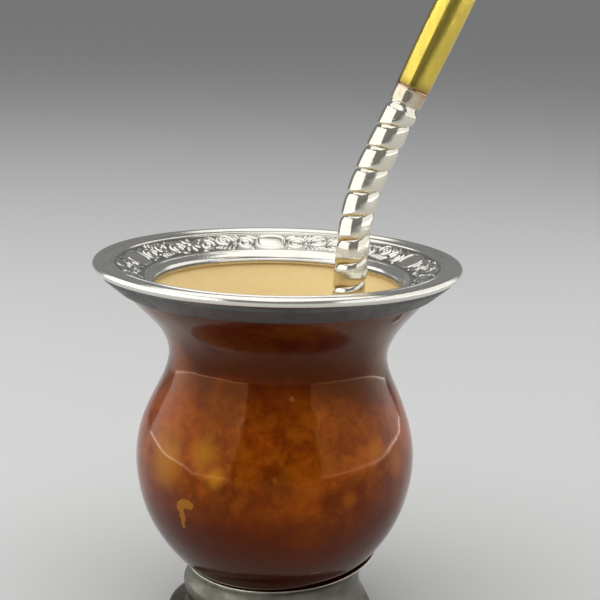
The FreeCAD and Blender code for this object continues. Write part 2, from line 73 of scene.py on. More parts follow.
class Tree:
    """A node tree, with short calls that add and join its nodes."""

    def __init__(self, tree: NodeTree) -> None:
        """Takes the tree and empties it."""
        self.tree = tree
        tree.nodes.clear()

    def add(self, kind: str, feeds: Optional[dict] = None, **settings: Any) -> Node:
        """Adds one node.

        Args:
            kind: the node's type name.
            feeds: values or sockets for its inputs, by input name or number.
            settings: properties of the node.

        Returns:
            The new node.
        """
        node = self.tree.nodes.new(kind)
        for key, value in settings.items():
            setattr(node, key, value)
        for key, value in (feeds or {}).items():
            self.feed(node.inputs[key], value)
        return node

    def feed(self, socket: NodeSocket, value: Any) -> None:
        """Joins a socket to another, or sets its value.

        Args:
            socket: the input.
            value: another socket, or a plain value.
        """
        if isinstance(value, NodeSocket):
            self.tree.links.new(value, socket)
        else:
            socket.default_value = value

    def math(self, operation: str, *values: Any) -> NodeSocket:
        """Result of a Math node on one to three numbers."""
        return self.add("ShaderNodeMath", dict(enumerate(values)), operation=operation).outputs[0]

    def times(self, first: Any, second: Any) -> NodeSocket:
        """Product of two numbers."""
        return self.math("MULTIPLY", first, second)

    def plus(self, first: Any, second: Any) -> NodeSocket:
        """Sum of two numbers."""
        return self.math("ADD", first, second)

    def minus(self, first: Any, second: Any) -> NodeSocket:
        """The first number less the second."""
        return self.math("SUBTRACT", first, second)

    def vector(self, operation: str, *values: Any) -> NodeSocket:
        """Result of a Vector Math node on one or two vectors."""
        return self.add("ShaderNodeVectorMath", dict(enumerate(values)), operation=operation).outputs[0]

    def scaled(self, vector: Any, factor: Any) -> NodeSocket:
        """Vector scaled by a number."""
        return self.add("ShaderNodeVectorMath", {0: vector, "Scale": factor}, operation="SCALE").outputs[0]

    def spread(self, value: Any, low: Any, high: Any, start: float = 0.0, end: float = 1.0) -> NodeSocket:
        """Maps the span from low to high smoothly onto the span from start to end."""
        feeds = {"Value": value, "From Min": low, "From Max": high, "To Min": start, "To Max": end}
        return self.add("ShaderNodeMapRange", feeds, interpolation_type="SMOOTHSTEP").outputs[0]

    def mix(self, factor: Any, first: Any, second: Any) -> NodeSocket:
        """Mixes two colours by a factor."""
        return self.add("ShaderNodeMix", {0: factor, 6: first, 7: second}, data_type="RGBA").outputs[2]

    def between(self, factor: Any, first: Any, second: Any) -> NodeSocket:
        """Mixes two numbers by a factor."""
        return self.add("ShaderNodeMix", {0: factor, 2: first, 3: second}, data_type="FLOAT").outputs[0]

    def noise(self, vector: Any, scale: Any, detail: float = 3.0, distortion: float = 0.0) -> NodeSocket:
        """Value of a Noise Texture node."""
        feeds = {"Vector": vector, "Scale": scale, "Detail": detail, "Distortion": distortion}
        return self.add("ShaderNodeTexNoise", feeds).outputs[0]

    def stretched(self, vector: Any, scale: Sequence[float]) -> NodeSocket:
        """Vector scaled by its own amount along each axis."""
        return self.add("ShaderNodeMapping", {"Vector": vector, "Scale": scale}).outputs[0]


def colour(red: float, green: float, blue: float) -> tuple[float, float, float, float]:
    """Opaque colour from linear red, green and blue."""
    return (red, green, blue, 1.0)


def new_group(name: str, inputs: dict[str, Any], outputs: dict[str, str]) -> tuple[Tree, dict, dict]:
    """Starts a shader node group.

    Args:
        name: the group's name.
        inputs: each input's name with its first value, a number or a vector.
        outputs: each output's name with its socket type.

    Returns:
        The tree, its input sockets by name and the output node's sockets by name.
    """
    data = bpy.data.node_groups.new(name, "ShaderNodeTree")
    for label, value in inputs.items():
        kind = "NodeSocketFloat" if isinstance(value, float) else "NodeSocketVector"
        data.interface.new_socket(label, in_out="INPUT", socket_type=kind).default_value = value
    for label, kind in outputs.items():
        data.interface.new_socket(label, in_out="OUTPUT", socket_type=kind)
    tree = Tree(data)
    entry = tree.add("NodeGroupInput")
    leave = tree.add("NodeGroupOutput")
    return tree, dict(entry.outputs.items()), dict(leave.inputs.items())


class Effects:
    """Shader groups that several finishes share, each built once."""

    def __init__(self) -> None:
        """Builds the groups."""
        self.blotches = self.build_blotches()
        self.pits = self.build_pits()
        self.scratches = self.build_scratches()
        self.spot = self.build_spot()

    @staticmethod
    def build_blotches() -> NodeTree:
        """Soft uneven patches: a mask from two sizes of cloudy noise.

        Returns:
            The group.
        """
        tree, take, give = new_group(
            "cloudy_blotches",
            {"Vector": (0.0, 0.0, 0.0), "Scale": 60.0, "Low": 0.42, "High": 0.62},
            {"Mask": "NodeSocketFloat"})
        broad = tree.noise(take["Vector"], take["Scale"], 2.0, 0.6)
        fine = tree.noise(take["Vector"], tree.times(take["Scale"], 3.7), 4.0, 0.3)
        both = tree.plus(tree.times(broad, 0.72), tree.times(fine, 0.28))
        tree.feed(give["Mask"], tree.spread(both, take["Low"], take["High"]))
        return tree.tree

    @staticmethod
    def build_pits() -> NodeTree:
        """Small round pits: a height that drops and a mask that rises inside them.

        Returns:
            The group.
        """
        tree, take, give = new_group(
            "fine_pits",
            {"Vector": (0.0, 0.0, 0.0), "Scale": 900.0, "Size": 0.22, "Share": 0.5},
            {"Height": "NodeSocketFloat", "Mask": "NodeSocketFloat"})
        cells = tree.add("ShaderNodeTexVoronoi", {"Vector": take["Vector"], "Scale": take["Scale"]})
        inside = tree.spread(cells.outputs["Distance"], 0.0, take["Size"], 1.0, 0.0)
        tone = tree.add("ShaderNodeSeparateColor", {0: cells.outputs["Color"]}).outputs[0]
        chosen = tree.math("LESS_THAN", tone, take["Share"])
        mask = tree.times(inside, chosen)
        tree.feed(give["Mask"], mask)
        tree.feed(give["Height"], tree.minus(1.0, mask))
        return tree.tree

    @staticmethod
    def build_scratches() -> NodeTree:
        """Thin hairlines in two crossing directions: a mask.

        Returns:
            The group.
        """
        tree, take, give = new_group(
            "hairlines",
            {"Vector": (0.0, 0.0, 0.0), "Scale": 400.0, "Width": 0.04},
            {"Mask": "NodeSocketFloat"})
        masks = []
        for turn in (0.35, 1.9):
            feeds = {"Vector": take["Vector"], "Rotation": (0.4 * turn, 0.2, turn), "Scale": (1.0, 0.06, 0.5)}
            along = tree.add("ShaderNodeMapping", feeds).outputs[0]
            value = tree.noise(along, take["Scale"], 2.0)
            near = tree.math("ABSOLUTE", tree.minus(value, 0.5))
            masks.append(tree.spread(near, 0.0, take["Width"], 1.0, 0.0))
        fade = tree.spread(tree.noise(take["Vector"], 90.0, 1.0), 0.45, 0.6)
        tree.feed(give["Mask"], tree.times(tree.math("MAXIMUM", masks[0], masks[1]), fade))
        return tree.tree

    @staticmethod
    def build_spot() -> NodeTree:
        """One uneven spot about a place: a mask.

        Returns:
            The group.
        """
        tree, take, give = new_group(
            "uneven_spot",
            {"Vector": (0.0, 0.0, 0.0), "Centre": (0.0, 0.0, 0.0), "Stretch": (1.0, 1.0, 1.0),
             "Radius": 0.004, "Softness": 0.5, "Ragged": 0.3},
            {"Mask": "NodeSocketFloat"})
        offset = tree.vector("SUBTRACT", take["Vector"], take["Centre"])
        offset = tree.vector("MULTIPLY", offset, take["Stretch"])
        length = tree.add("ShaderNodeVectorMath", {0: offset}, operation="LENGTH").outputs["Value"]
        share = tree.math("DIVIDE", length, take["Radius"])
        wobble = tree.minus(tree.noise(take["Vector"], 260.0, 3.0), 0.5)
        edge = tree.plus(share, tree.times(wobble, take["Ragged"]))
        inner = tree.minus(1.0, take["Softness"])
        tree.feed(give["Mask"], tree.spread(edge, inner, 1.0, 1.0, 0.0))
        return tree.tree


EFFECTS = Effects()


class Paint(Tree):
    """A material under construction: its tree, its shader and the object's own coordinates."""

    def __init__(self, name: str) -> None:
        """Starts a material with one Principled BSDF.

        Args:
            name: the material's name.
        """
        self.material = bpy.data.materials.new(name)
        self.material.use_nodes = True
        super().__init__(self.material.node_tree)
        self.shader = self.add("ShaderNodeBsdfPrincipled")
        output = self.add("ShaderNodeOutputMaterial")
        self.feed(output.inputs["Surface"], self.shader.outputs[0])
        self.place = self.add("ShaderNodeTexCoord").outputs["Object"]

    def effect(self, group: NodeTree, output: str = "Mask", **feeds: Any) -> NodeSocket:
        """One output of a shared group.

        Args:
            group: the shared group.
            output: the output's name.
            feeds: the group's inputs by name. Its vector is the object's own coordinates unless it is given.

        Returns:
            The output's socket.
        """
        node = self.add("ShaderNodeGroup", node_tree=group)
        for label, value in {"Vector": self.place, **feeds}.items():
            self.feed(node.inputs[label], value)
        return node.outputs[output]

    def mark(self, name: str) -> NodeSocket:
        """A number kept on the piece's points."""
        return self.add("ShaderNodeAttribute", attribute_name=name, attribute_type="GEOMETRY").outputs["Fac"]

    def bump(self, height: Any, distance: float, strength: float = 1.0, under: Any = None) -> NodeSocket:
        """Normal bent by a height.

        Args:
            height: the height's socket.
            distance: how far a height of 1 stands out, in metres.
            strength: how much of the bend counts.
            under: another bent normal below this one, if any.

        Returns:
            The normal's socket.
        """
        feeds = {"Height": height, "Distance": distance, "Strength": strength}
        if under is not None:
            feeds["Normal"] = under
        return self.add("ShaderNodeBump", feeds).outputs[0]

    def lay(self, tone: Any, tint: Sequence[float], mask: Any, share: Any = 1.0) -> NodeSocket:
        """The tone with a tint laid over it by a share of a mask."""
        return self.mix(self.times(mask, share), tone, colour(*tint))

    def surface(self, **values: Any) -> None:
        """Feeds the shader's inputs, named with underscores for spaces."""
        for label, value in values.items():
            self.feed(self.shader.inputs[label.replace("_", " ")], value)


@dataclass(frozen=True)
class MetalFinish:
    """Polished or dull metal with tarnish, hairlines and pits."""

    name: str
    bright: Triple
    tarnish: Triple
    soil_and_shade: Triple = (0.10, 0.085, 0.06)
    worn_and_lit: Optional[Triple] = None
    smooth: float = 0.16
    rough: float = 0.34
    blotch_scale: float = 110.0
    blotch_low: float = 0.45
    blotch_high: float = 0.68
    hairline: float = 0.12
    pit_scale: float = 1500.0
    pit_size: float = 0.25
    pit_share: float = 0.3
    pit_depth: float = 0.00004
    dent_depth: float = 0.00008
    dent_scale: float = 70.0
    streak: Optional[Triple] = None
    grime_and_shade: float = 0.0
    metallic: float = 1.0

    def material(self) -> Material:
        """Builds the finish.

        Returns:
            The material.
        """
        paint = Paint(self.name)
        patches = paint.effect(
            EFFECTS.blotches, Scale=self.blotch_scale, Low=self.blotch_low, High=self.blotch_high)
        lines = paint.effect(EFFECTS.scratches, Scale=900.0, Width=0.03)
        if self.streak:
            along = paint.stretched(paint.place, self.streak)
            brushed = paint.spread(paint.noise(along, 420.0, 3.0), 0.35, 0.65)
            patches = paint.plus(paint.times(patches, 0.55), paint.times(brushed, 0.45))
        wear_and_highlight = paint.mark("wear_and_highlight")
        shade = paint.times(patches, paint.minus(1.0, wear_and_highlight))
        tone = paint.mix(shade, colour(*self.bright), colour(*self.tarnish))
        # The worn tone: real rubbing on the rim's bead and relief tops, and on the base collar's lip a
        # painted highlight as well as a rubbed edge.
        tone = paint.mix(wear_and_highlight, tone, colour(*(self.worn_and_lit or self.bright)))
        # The soil tone, laid where pieces are marked dirty: real grime, patina and stains on most pieces, and
        # painted shade in the stem's grooves.
        tone = paint.lay(tone, self.soil_and_shade, paint.mark("dirt"), self.grime_and_shade)
        pits = {"Scale": self.pit_scale, "Size": self.pit_size, "Share": self.pit_share}
        pitted = [0.3 * value for value in self.tarnish]
        tone = paint.lay(tone, pitted, paint.effect(EFFECTS.pits, **pits), 0.45)
        roughness = paint.spread(shade, 0.0, 1.0, self.smooth, self.rough)
        roughness = paint.plus(roughness, paint.times(lines, self.hairline))
        dents = paint.bump(paint.noise(paint.place, self.dent_scale, 2.0), self.dent_depth)
        grain = paint.bump(paint.minus(1.0, lines), 0.00001, 0.6, dents)
        holes = paint.bump(paint.effect(EFFECTS.pits, "Height", **pits), self.pit_depth, 0.7, grain)
        paint.surface(Base_Color=tone, Roughness=roughness, Metallic=self.metallic, Normal=holes)
        return paint.material


RIM_FINISH = MetalFinish(
    "polished_rim_metal", (0.76, 0.74, 0.68), (0.54, 0.52, 0.455), (0.36, 0.345, 0.30),
    smooth=0.17, rough=0.30, blotch_low=0.5, blotch_high=0.8, hairline=0.05, pit_share=0.1,
    pit_depth=0.00002, grime_and_shade=0.85)
SKIRT_FINISH = MetalFinish(
    "dull_skirt_metal", (0.10, 0.099, 0.094), (0.075, 0.074, 0.070), smooth=0.42, rough=0.55,
    streak=(1.0, 1.0, 0.05), blotch_scale=120.0, dent_depth=0.00006, metallic=0.5)
# The base's pale worn tone paints the collar's lip bright: a rubbed edge and a painted highlight.
BASE_FINISH = MetalFinish(
    "mottled_base_metal", (0.21, 0.198, 0.165), (0.13, 0.12, 0.098), smooth=0.3, rough=0.46,
    worn_and_lit=(0.62, 0.58, 0.48), blotch_scale=120.0, blotch_low=0.36, blotch_high=0.7, pit_share=0.4, grime_and_shade=0.6)
# The stem's near-black soil, laid at a strong grime share, is painted shade in the grooves between turns,
# with some grime.
STEM_FINISH = MetalFinish(
    "polished_stem_metal", (0.72, 0.685, 0.585), (0.50, 0.43, 0.32), (0.05, 0.034, 0.018),
    smooth=0.1, rough=0.24, blotch_scale=240.0, blotch_low=0.55, blotch_high=0.8, hairline=0.05,
    pit_share=0.1, dent_depth=0.00010, dent_scale=190.0, grime_and_shade=0.9)
FERRULE_FINISH = MetalFinish(
    "soldered_ferrule_metal", (0.66, 0.60, 0.46), (0.45, 0.34, 0.21), (0.36, 0.17, 0.09),
    smooth=0.16, rough=0.3, blotch_scale=300.0, blotch_low=0.5, blotch_high=0.8, hairline=0.05,
    pit_share=0.1, dent_depth=0.00014, dent_scale=260.0, grime_and_shade=0.85)
BRASS_FINISH = MetalFinish(
    "streaked_brass", (0.72, 0.55, 0.10), (0.44, 0.35, 0.07), (0.18, 0.11, 0.03), smooth=0.13, rough=0.24,
    blotch_scale=150.0, blotch_low=0.5, blotch_high=0.8, streak=(1.0, 1.0, 0.06), pit_share=0.15,
    pit_size=0.2, hairline=0.05, dent_depth=0.00004, grime_and_shade=0.8)


@dataclass(frozen=True)
class Spot:
    """A patch of another colour on the gourd, placed by its height and its direction."""

    height: float
    azimuth: float
    radius: float
    tone: Triple
    strength: float = 1.0
    stretch: Triple = (1.0, 1.0, 1.0)
    softness: float = 0.9
    ragged: float = 0.5


@dataclass(frozen=True)
class LacquerFinish:
    """Glossy lacquer over mottled gourd skin outside, and bare dry gourd inside."""

    name: str = "lacquered_gourd_skin"
    deep: Triple = (0.026, 0.0018, 0.0001)
    brown: Triple = (0.094, 0.0085, 0.0002)
    amber: Triple = (0.34, 0.058, 0.001)
    gold: Triple = (0.46, 0.125, 0.003)
    olive: Triple = (0.11, 0.030, 0.002)
    bare: Triple = (0.97, 0.76, 0.38)
    bare_dark: Triple = (0.93, 0.68, 0.30)
    base_span: tuple[float, float] = (0.014, 0.040)
    belly_span: tuple[float, float] = (0.029, 0.051)
    shoulder_span: tuple[float, float] = (0.068, 0.056)
    neck_span: tuple[float, float] = (0.060, 0.070)
    flare_span: tuple[float, float] = (0.066, 0.080)
    gloss: tuple[float, float] = (0.07, 0.13)
    bare_roughness: float = 0.72
    specular: float = 0.45
    specular_tint: Triple = (1.0, 0.44, 0.16)

    def material(self, spots: Sequence[Spot], reach: Callable[[Spot], Vector]) -> Material:
        """Builds the finish.

        Args:
            spots: patches of other colours.
            reach: gives a spot's place on the gourd.

        Returns:
            The material.
        """
        paint = Paint(self.name)
        skin = self.skin(paint, spots, reach)
        along = paint.stretched(paint.place, (1.0, 1.0, 0.14))
        fibres = paint.spread(paint.noise(along, 900.0, 4.0), 0.35, 0.7)
        bare = paint.lay(colour(*self.bare), self.bare_dark, fibres, 0.4)
        cloud = paint.effect(EFFECTS.blotches, Scale=70.0, Low=0.4, High=0.75)
        bare = paint.lay(bare, self.bare_dark, cloud, 0.35)
        inside = paint.mark("inside")
        rough = paint.spread(paint.noise(paint.place, 45.0, 2.0), 0.3, 0.7, *self.gloss)
        waves = paint.bump(paint.noise(paint.place, 55.0, 2.0), 0.0005, 0.5)
        grain = paint.noise(paint.stretched(paint.place, (1.0, 1.0, 0.35)), 520.0, 3.0)
        paint.surface(
            Base_Color=paint.mix(inside, skin, bare), Specular_IOR_Level=self.specular,
            Roughness=paint.between(inside, rough, self.bare_roughness),
            Specular_Tint=colour(*self.specular_tint), Normal=paint.bump(grain, 0.00003, 0.5, waves))
        return paint.material

    def skin(self, paint: Paint, spots: Sequence[Spot], reach: Callable[[Spot], Vector]) -> NodeSocket:
        """Colour of the lacquered skin: dark below and at the neck, glowing at the belly.

        Args:
            paint: the material under construction.
            spots: patches of other colours.
            reach: gives a spot's place on the gourd.

        Returns:
            The colour socket.
        """
        height = paint.add("ShaderNodeSeparateXYZ", {0: paint.place}).outputs[2]
        wander = paint.minus(paint.noise(paint.place, 38.0, 3.0, 0.8), 0.5)
        level = paint.plus(height, paint.times(wander, 0.022))
        glow = paint.times(paint.spread(level, *self.belly_span), paint.spread(level, *self.shoulder_span))
        tone = paint.mix(paint.spread(level, *self.base_span), colour(*self.deep), colour(*self.brown))
        blotches = paint.effect(EFFECTS.blotches, Scale=46.0, Low=0.36, High=0.66)
        tone = paint.lay(tone, self.amber, glow, paint.spread(blotches, 0.0, 1.0, 0.25, 0.9))
        along = paint.stretched(paint.place, (1.0, 1.0, 0.45))
        streaks = paint.effect(EFFECTS.blotches, Vector=along, Scale=95.0, Low=0.45, High=0.7)
        tone = paint.lay(tone, self.deep, streaks, 0.3)
        mottle = paint.effect(EFFECTS.blotches, Scale=230.0, Low=0.36, High=0.64)
        tone = paint.lay(tone, self.gold, mottle, paint.times(glow, 0.35))
        grain = paint.effect(EFFECTS.blotches, Scale=420.0, Low=0.4, High=0.66)
        tone = paint.lay(tone, self.deep, grain, 0.2)
        tone = paint.lay(tone, self.deep, paint.spread(level, *self.neck_span), 0.75)
        flare = paint.effect(EFFECTS.blotches, Scale=75.0, Low=0.42, High=0.66)
        tone = paint.lay(tone, self.olive, flare, paint.spread(level, *self.flare_span, 0.0, 0.75))
        for spot in spots:
            mask = paint.effect(
                EFFECTS.spot, Centre=reach(spot), Stretch=spot.stretch, Radius=spot.radius,
                Softness=spot.softness, Ragged=spot.ragged)
            tone = paint.lay(tone, spot.tone, mask, spot.strength)
        return tone


@dataclass(frozen=True)
class FloorFinish:
    """Plain pale floor."""

    name: str = "pale_floor"
    tone: Triple = (0.72, 0.72, 0.71)

    def material(self) -> Material:
        """Builds the finish: even and matt.

        Returns:
            The material.
        """
        paint = Paint(self.name)
        paint.surface(Base_Color=colour(*self.tone), Roughness=0.9, Specular_IOR_Level=0.1)
        return paint.material


class NodeSurface:
    """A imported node's surface, measured by rays."""

    def __init__(self, node: str) -> None:
        """Reads the node's triangles.

        Args:
            node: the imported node's name.
        """
        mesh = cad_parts[node].data
        corners = [vertex.co.copy() for vertex in mesh.vertices]
        self.tree = BVHTree.FromPolygons(corners, [tuple(face.vertices) for face in mesh.polygons])

    def first(self, start: Vector, direction: Vector, reach: float = 0.2) -> Optional[Vector]:
        """First point of the surface from a start in a direction, or None."""
        return self.tree.ray_cast(start, direction, reach)[0]

    def outer(self, origin: Vector, direction: Vector, reach: float = 0.12) -> Optional[Vector]:
        """Outermost point of the surface from an origin in a direction, or None."""
        return self.first(origin + direction * reach, -direction, reach)


def clamped(value: float) -> float:
    """The value, kept between 0 and 1."""
    return min(max(value, 0.0), 1.0)


def eased(value: float, low: float, high: float) -> float:
    """Share of the way from low to high, eased at both ends."""
    share = clamped((value - low) / (high - low))
    return share * share * (3.0 - 2.0 * share)


def on_axis(height: float) -> Vector:
    """Point of the cup's axis at a height."""
    return Vector((0.0, 0.0, height))


def direction_of(azimuth: float, elevation: float = 0.0) -> Vector:
    """Unit vector from its angle round the cup and its angle above the level, in radians."""
    level = math.cos(elevation)
    return Vector((level * math.cos(azimuth), level * math.sin(azimuth), math.sin(elevation)))


def azimuths(columns: int) -> list[float]:
    """Evenly spaced angles round the cup, in radians."""
    return [TURN * column / columns for column in range(columns)]


def ring_faces(rows: int, columns: int, ends: Ends) -> np.ndarray:
    """Quads between rings.

    Args:
        rows: number of rings.
        columns: number of points in each ring.
        ends: whether the last ring joins the first.

    Returns:
        Array of quads, as indexes of points.
    """
    spans = rows if ends is Ends.LOOPED else rows - 1
    row, column = np.meshgrid(np.arange(spans), np.arange(columns), indexing="ij")
    beside = (column + 1) % columns
    low, high = row * columns, (row + 1) % rows * columns
    quads = [low + column, low + beside, high + beside, high + column]
    return np.stack(quads, axis=-1).reshape(-1, 4)


def ring_array(rings: Sequence[Sequence[Vector]]) -> np.ndarray:
    """Rings of points as one array of rows, columns and coordinates."""
    return np.array([[tuple(point) for point in ring] for ring in rings])


def new_object(name: str, data: Any) -> Object:
    """Puts a mesh, curve, light or camera into the scene.

    Args:
        name: the object's name.
        data: what it shows.

    Returns:
        The new object, at the origin.
    """
    made = bpy.data.objects.new(name, data)
    bpy.context.scene.collection.objects.link(made)
    return made


def new_piece(name: str, rings: np.ndarray, ends: Ends, material: Material,
              marks: dict[str, np.ndarray]) -> Object:
    """Makes a closed piece from rings of points.

    Args:
        name: the piece's name.
        rings: points as an array of rows, columns and three coordinates, in metres.
        ends: how the first and last rings close.
        material: the piece's finish.
        marks: numbers kept on the points, by name, each an array of rows and columns.

    Returns:
        The new object, with its place in its mesh and its faces outwards.
    """
    rows, columns = rings.shape[:2]
    points = rings.reshape(-1, 3)
    faces = ring_faces(rows, columns, ends).tolist()
    if ends is Ends.CAPPED:
        first, last = len(points), len(points) + 1
        points = np.vstack([points, rings[0].mean(axis=0), rings[-1].mean(axis=0)])
        top = (rows - 1) * columns
        for column in range(columns):
            beside = (column + 1) % columns
            faces.append([first, beside, column])
            faces.append([last, top + column, top + beside])
    mesh = bpy.data.meshes.new(name)
    mesh.from_pydata(points.tolist(), [], faces)
    for label in ("wear_and_highlight", "dirt", "inside"):
        values = np.zeros(len(points))
        if label in marks:
            values[:rows * columns] = marks[label].reshape(-1)
            if ends is Ends.CAPPED:
                values[rows * columns] = marks[label][0].mean()
                values[rows * columns + 1] = marks[label][-1].mean()
        mesh.attributes.new(label, "FLOAT", "POINT").data.foreach_set("value", values.astype(np.float32))
    mesh.update()
    if signed_volume(mesh) < 0.0:
        mesh.flip_normals()
    mesh.shade_smooth()
    piece = new_object(name, mesh)
    mesh.materials.append(material)
    return piece


def signed_volume(mesh: Mesh) -> float:
    """Volume inside a closed mesh.

    Args:
        mesh: the mesh.

    Returns:
        The volume in cubic metres, negative where the faces point inwards.
    """
    mesh.calc_loop_triangles()
    corners = np.empty(len(mesh.vertices) * 3)
    mesh.vertices.foreach_get("co", corners)
    triangles = np.empty(len(mesh.loop_triangles) * 3, dtype=np.int32)
    mesh.loop_triangles.foreach_get("vertices", triangles)
    places = corners.reshape(-1, 3)[triangles].reshape(-1, 3, 3)
    return float(np.einsum("ij,ij->i", places[:, 0], np.cross(places[:, 1], places[:, 2])).sum() / 6.0)


def settle(piece: Object, slot: str, *nodes: str) -> None:
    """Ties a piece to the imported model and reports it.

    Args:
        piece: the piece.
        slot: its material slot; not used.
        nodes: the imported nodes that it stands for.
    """
    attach(piece, BODY)
    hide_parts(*nodes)
    log.info("%s: %d faces", piece.name, len(piece.data.polygons))


def lumps(place: Vector, wave: float, seed: float) -> float:
    """Smooth wandering number between about -1 and 1 at a place.

    Args:
        place: where it is read, in metres.
        wave: rough distance from one lump to the next.
        seed: moves the pattern.

    Returns:
        The number.
    """
    return noise.noise(place / wave + Vector((seed, 2.0 * seed, -seed)))


@dataclass
class Gourd:
    """The lacquered gourd: a waisted shell, a little lumpy as it grew."""

    columns: int = 360
    bowl_rows: int = 55
    wall_rows: int = 84
    bowl_height: float = 36.0 * MM
    wall_top: float = 87.55 * MM
    sky: float = 100.0 * MM
    inner_top: float = 83.6 * MM
    mouth_radii: tuple[float, ...] = (41.2, 40.0, 38.0, 36.0, 34.2, 32.8, 31.6)
    lacquered_mouth_rows: int = 2
    lump_wave: float = 17.0 * MM
    lump_size: float = 0.26 * MM
    ripple_wave: float = 5.0 * MM
    ripple_size: float = 0.035 * MM
    quiet_low: tuple[float, float] = (13.0 * MM, 23.0 * MM)
    quiet_high: tuple[float, float] = (82.0 * MM, 77.0 * MM)
    wart_height: float = 82.1 * MM
    wart_azimuth: float = -38.2
    wart_radius: float = 1.5 * MM
    wart_size: float = 0.55 * MM
    finish: LacquerFinish = LacquerFinish()
    surface: NodeSurface = field(init=False)

    def __post_init__(self) -> None:
        """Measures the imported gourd."""
        self.surface = NodeSurface("gourd_shell")

    def rays(self) -> list[tuple[Vector, float]]:
        """Rays that find one side of the shell.

        Returns:
            Each ring's origin and elevation, from the bottom up.
        """
        centre = on_axis(self.bowl_height)
        last = self.bowl_rows + 1
        bowl = [(centre, -0.5 * math.pi * (1.0 - step / last)) for step in range(1, last)]
        heights = np.linspace(self.bowl_height, self.wall_top, self.wall_rows)
        return bowl + [(on_axis(height), 0.0) for height in heights]

    def outside(self) -> list[list[Vector]]:
        """Rings of the outer side, with the lumps and the wart.

        Returns:
            The rings, from the bottom up.
        """
        rings = []
        wart = self.place(self.wart_height, self.wart_azimuth)
        for origin, elevation in self.rays():
            ring = []
            for azimuth in azimuths(self.columns):
                direction = direction_of(azimuth, elevation)
                point = self.surface.outer(origin, direction)
                share = 1.0
                for quiet, lumpy in (self.quiet_low, self.quiet_high):
                    share *= clamped((point.z - quiet) / (lumpy - quiet))
                swell = self.lump_size * lumps(point, self.lump_wave, 3.1)
                swell += self.ripple_size * lumps(point, self.ripple_wave, 7.7)
                point += direction * swell * share
                near = (point - wart).length / self.wart_radius
                ring.append(point + direction * self.wart_size * math.exp(-near * near * 2.0))
            rings.append(ring)
        return rings

    def mouth(self) -> list[list[Vector]]:
        """Rings over the shell's upper edge, under the rim plate.

        Returns:
            The rings, inwards.
        """
        down = Vector((0.0, 0.0, -1.0))
        above = on_axis(self.sky)
        return [[self.surface.first(direction_of(azimuth) * radius * MM + above, down)
                 for azimuth in azimuths(self.columns)] for radius in self.mouth_radii]

    def inside(self) -> list[list[Vector]]:
        """Rings of the inner side.

        Returns:
            The rings, from the mouth down.
        """
        rings = []
        for origin, elevation in reversed(self.rays()):
            if origin.z > self.inner_top:
                continue
            ring = []
            for azimuth in azimuths(self.columns):
                direction = direction_of(azimuth, elevation)
                point = self.surface.first(origin, direction)
                swell = 0.5 * self.lump_size * lumps(point, self.ripple_wave * 1.6, 1.3)
                ring.append(point + direction * min(swell, 0.0))
            rings.append(ring)
        return rings

    def place(self, height: float, azimuth: float) -> Vector:
        """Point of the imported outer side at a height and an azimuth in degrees."""
        return self.surface.outer(on_axis(height), direction_of(math.radians(azimuth)))

    def reach(self, spot: Spot) -> Vector:
        """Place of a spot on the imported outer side."""
        return self.place(spot.height * MM, spot.azimuth)

    def build(self, spots: Sequence[Spot]) -> Object:
        """Makes the gourd.

        Args:
            spots: patches of other colours on its skin.

        Returns:
            The piece.
        """
        outside = self.outside()
        rings = ring_array(outside + self.mouth() + self.inside())
        bare = np.zeros(rings.shape[:2])
        bare[len(outside) + self.lacquered_mouth_rows:] = 1.0
        material = self.finish.material(spots, self.reach)
        piece = new_piece("gourd", rings, Ends.CAPPED, material, {"inside": bare})
        settle(piece, "lacquered_gourd", "gourd_shell")
        return piece


GOURD_SPOTS = (
    Spot(50.7, -118.0, 5.0 * MM, (0.40, 0.15, 0.006), 0.7, (1.0, 1.0, 0.8)),
    Spot(45.5, -112.0, 3.4 * MM, (0.46, 0.17, 0.006), 0.8),
    Spot(47.0, -138.0, 7.5 * MM, (0.42, 0.16, 0.012), 0.75, (1.0, 1.0, 0.8)),
    Spot(50.2, -44.0, 4.5 * MM, (0.42, 0.12, 0.005), 0.7),
    Spot(46.0, -30.0, 5.5 * MM, (0.36, 0.10, 0.004), 0.6),
    Spot(40.2, -58.3, 3.0 * MM, (0.34, 0.075, 0.003), 0.6),
    Spot(46.3, -88.8, 5.2 * MM, (0.10, 0.018, 0.001), 0.45, (0.85, 0.85, 1.2)),
    Spot(46.2, -88.4, 0.9 * MM, (0.34, 0.11, 0.02), 0.4),
    Spot(63.7, -81.0, 0.8 * MM, (0.33, 0.12, 0.04), 0.6, softness=0.6),
    Spot(37.6, -124.6, 2.0 * MM, (0.30, 0.115, 0.006), 1.0, (0.8, 0.8, 1.5), softness=0.2, ragged=1.2),
    Spot(36.6, -128.0, 1.5 * MM, (0.30, 0.115, 0.006), 1.0, (1.1, 1.1, 0.9), softness=0.22, ragged=1.2),
    Spot(34.2, -127.6, 1.3 * MM, (0.28, 0.105, 0.006), 1.0, (1.3, 1.3, 0.65), softness=0.25, ragged=1.0),
    Spot(32.0, -127.9, 0.9 * MM, (0.26, 0.095, 0.006), 1.0, (1.5, 1.5, 0.7), softness=0.3, ragged=0.9),
    Spot(20.2, -67.1, 1.1 * MM, (0.17, 0.075, 0.03), 0.8, (0.6, 0.6, 3.2), softness=0.6),
    Spot(84.0, -150.0, 9.0 * MM, (0.19, 0.060, 0.006), 0.6),
    Spot(70.0, -25.0, 8.0 * MM, (0.16, 0.062, 0.008), 0.6, (1.0, 1.0, 0.6)),
    Spot(67.0, -150.0, 9.0 * MM, (0.24, 0.065, 0.006), 0.6, (1.0, 1.0, 0.6)),
)


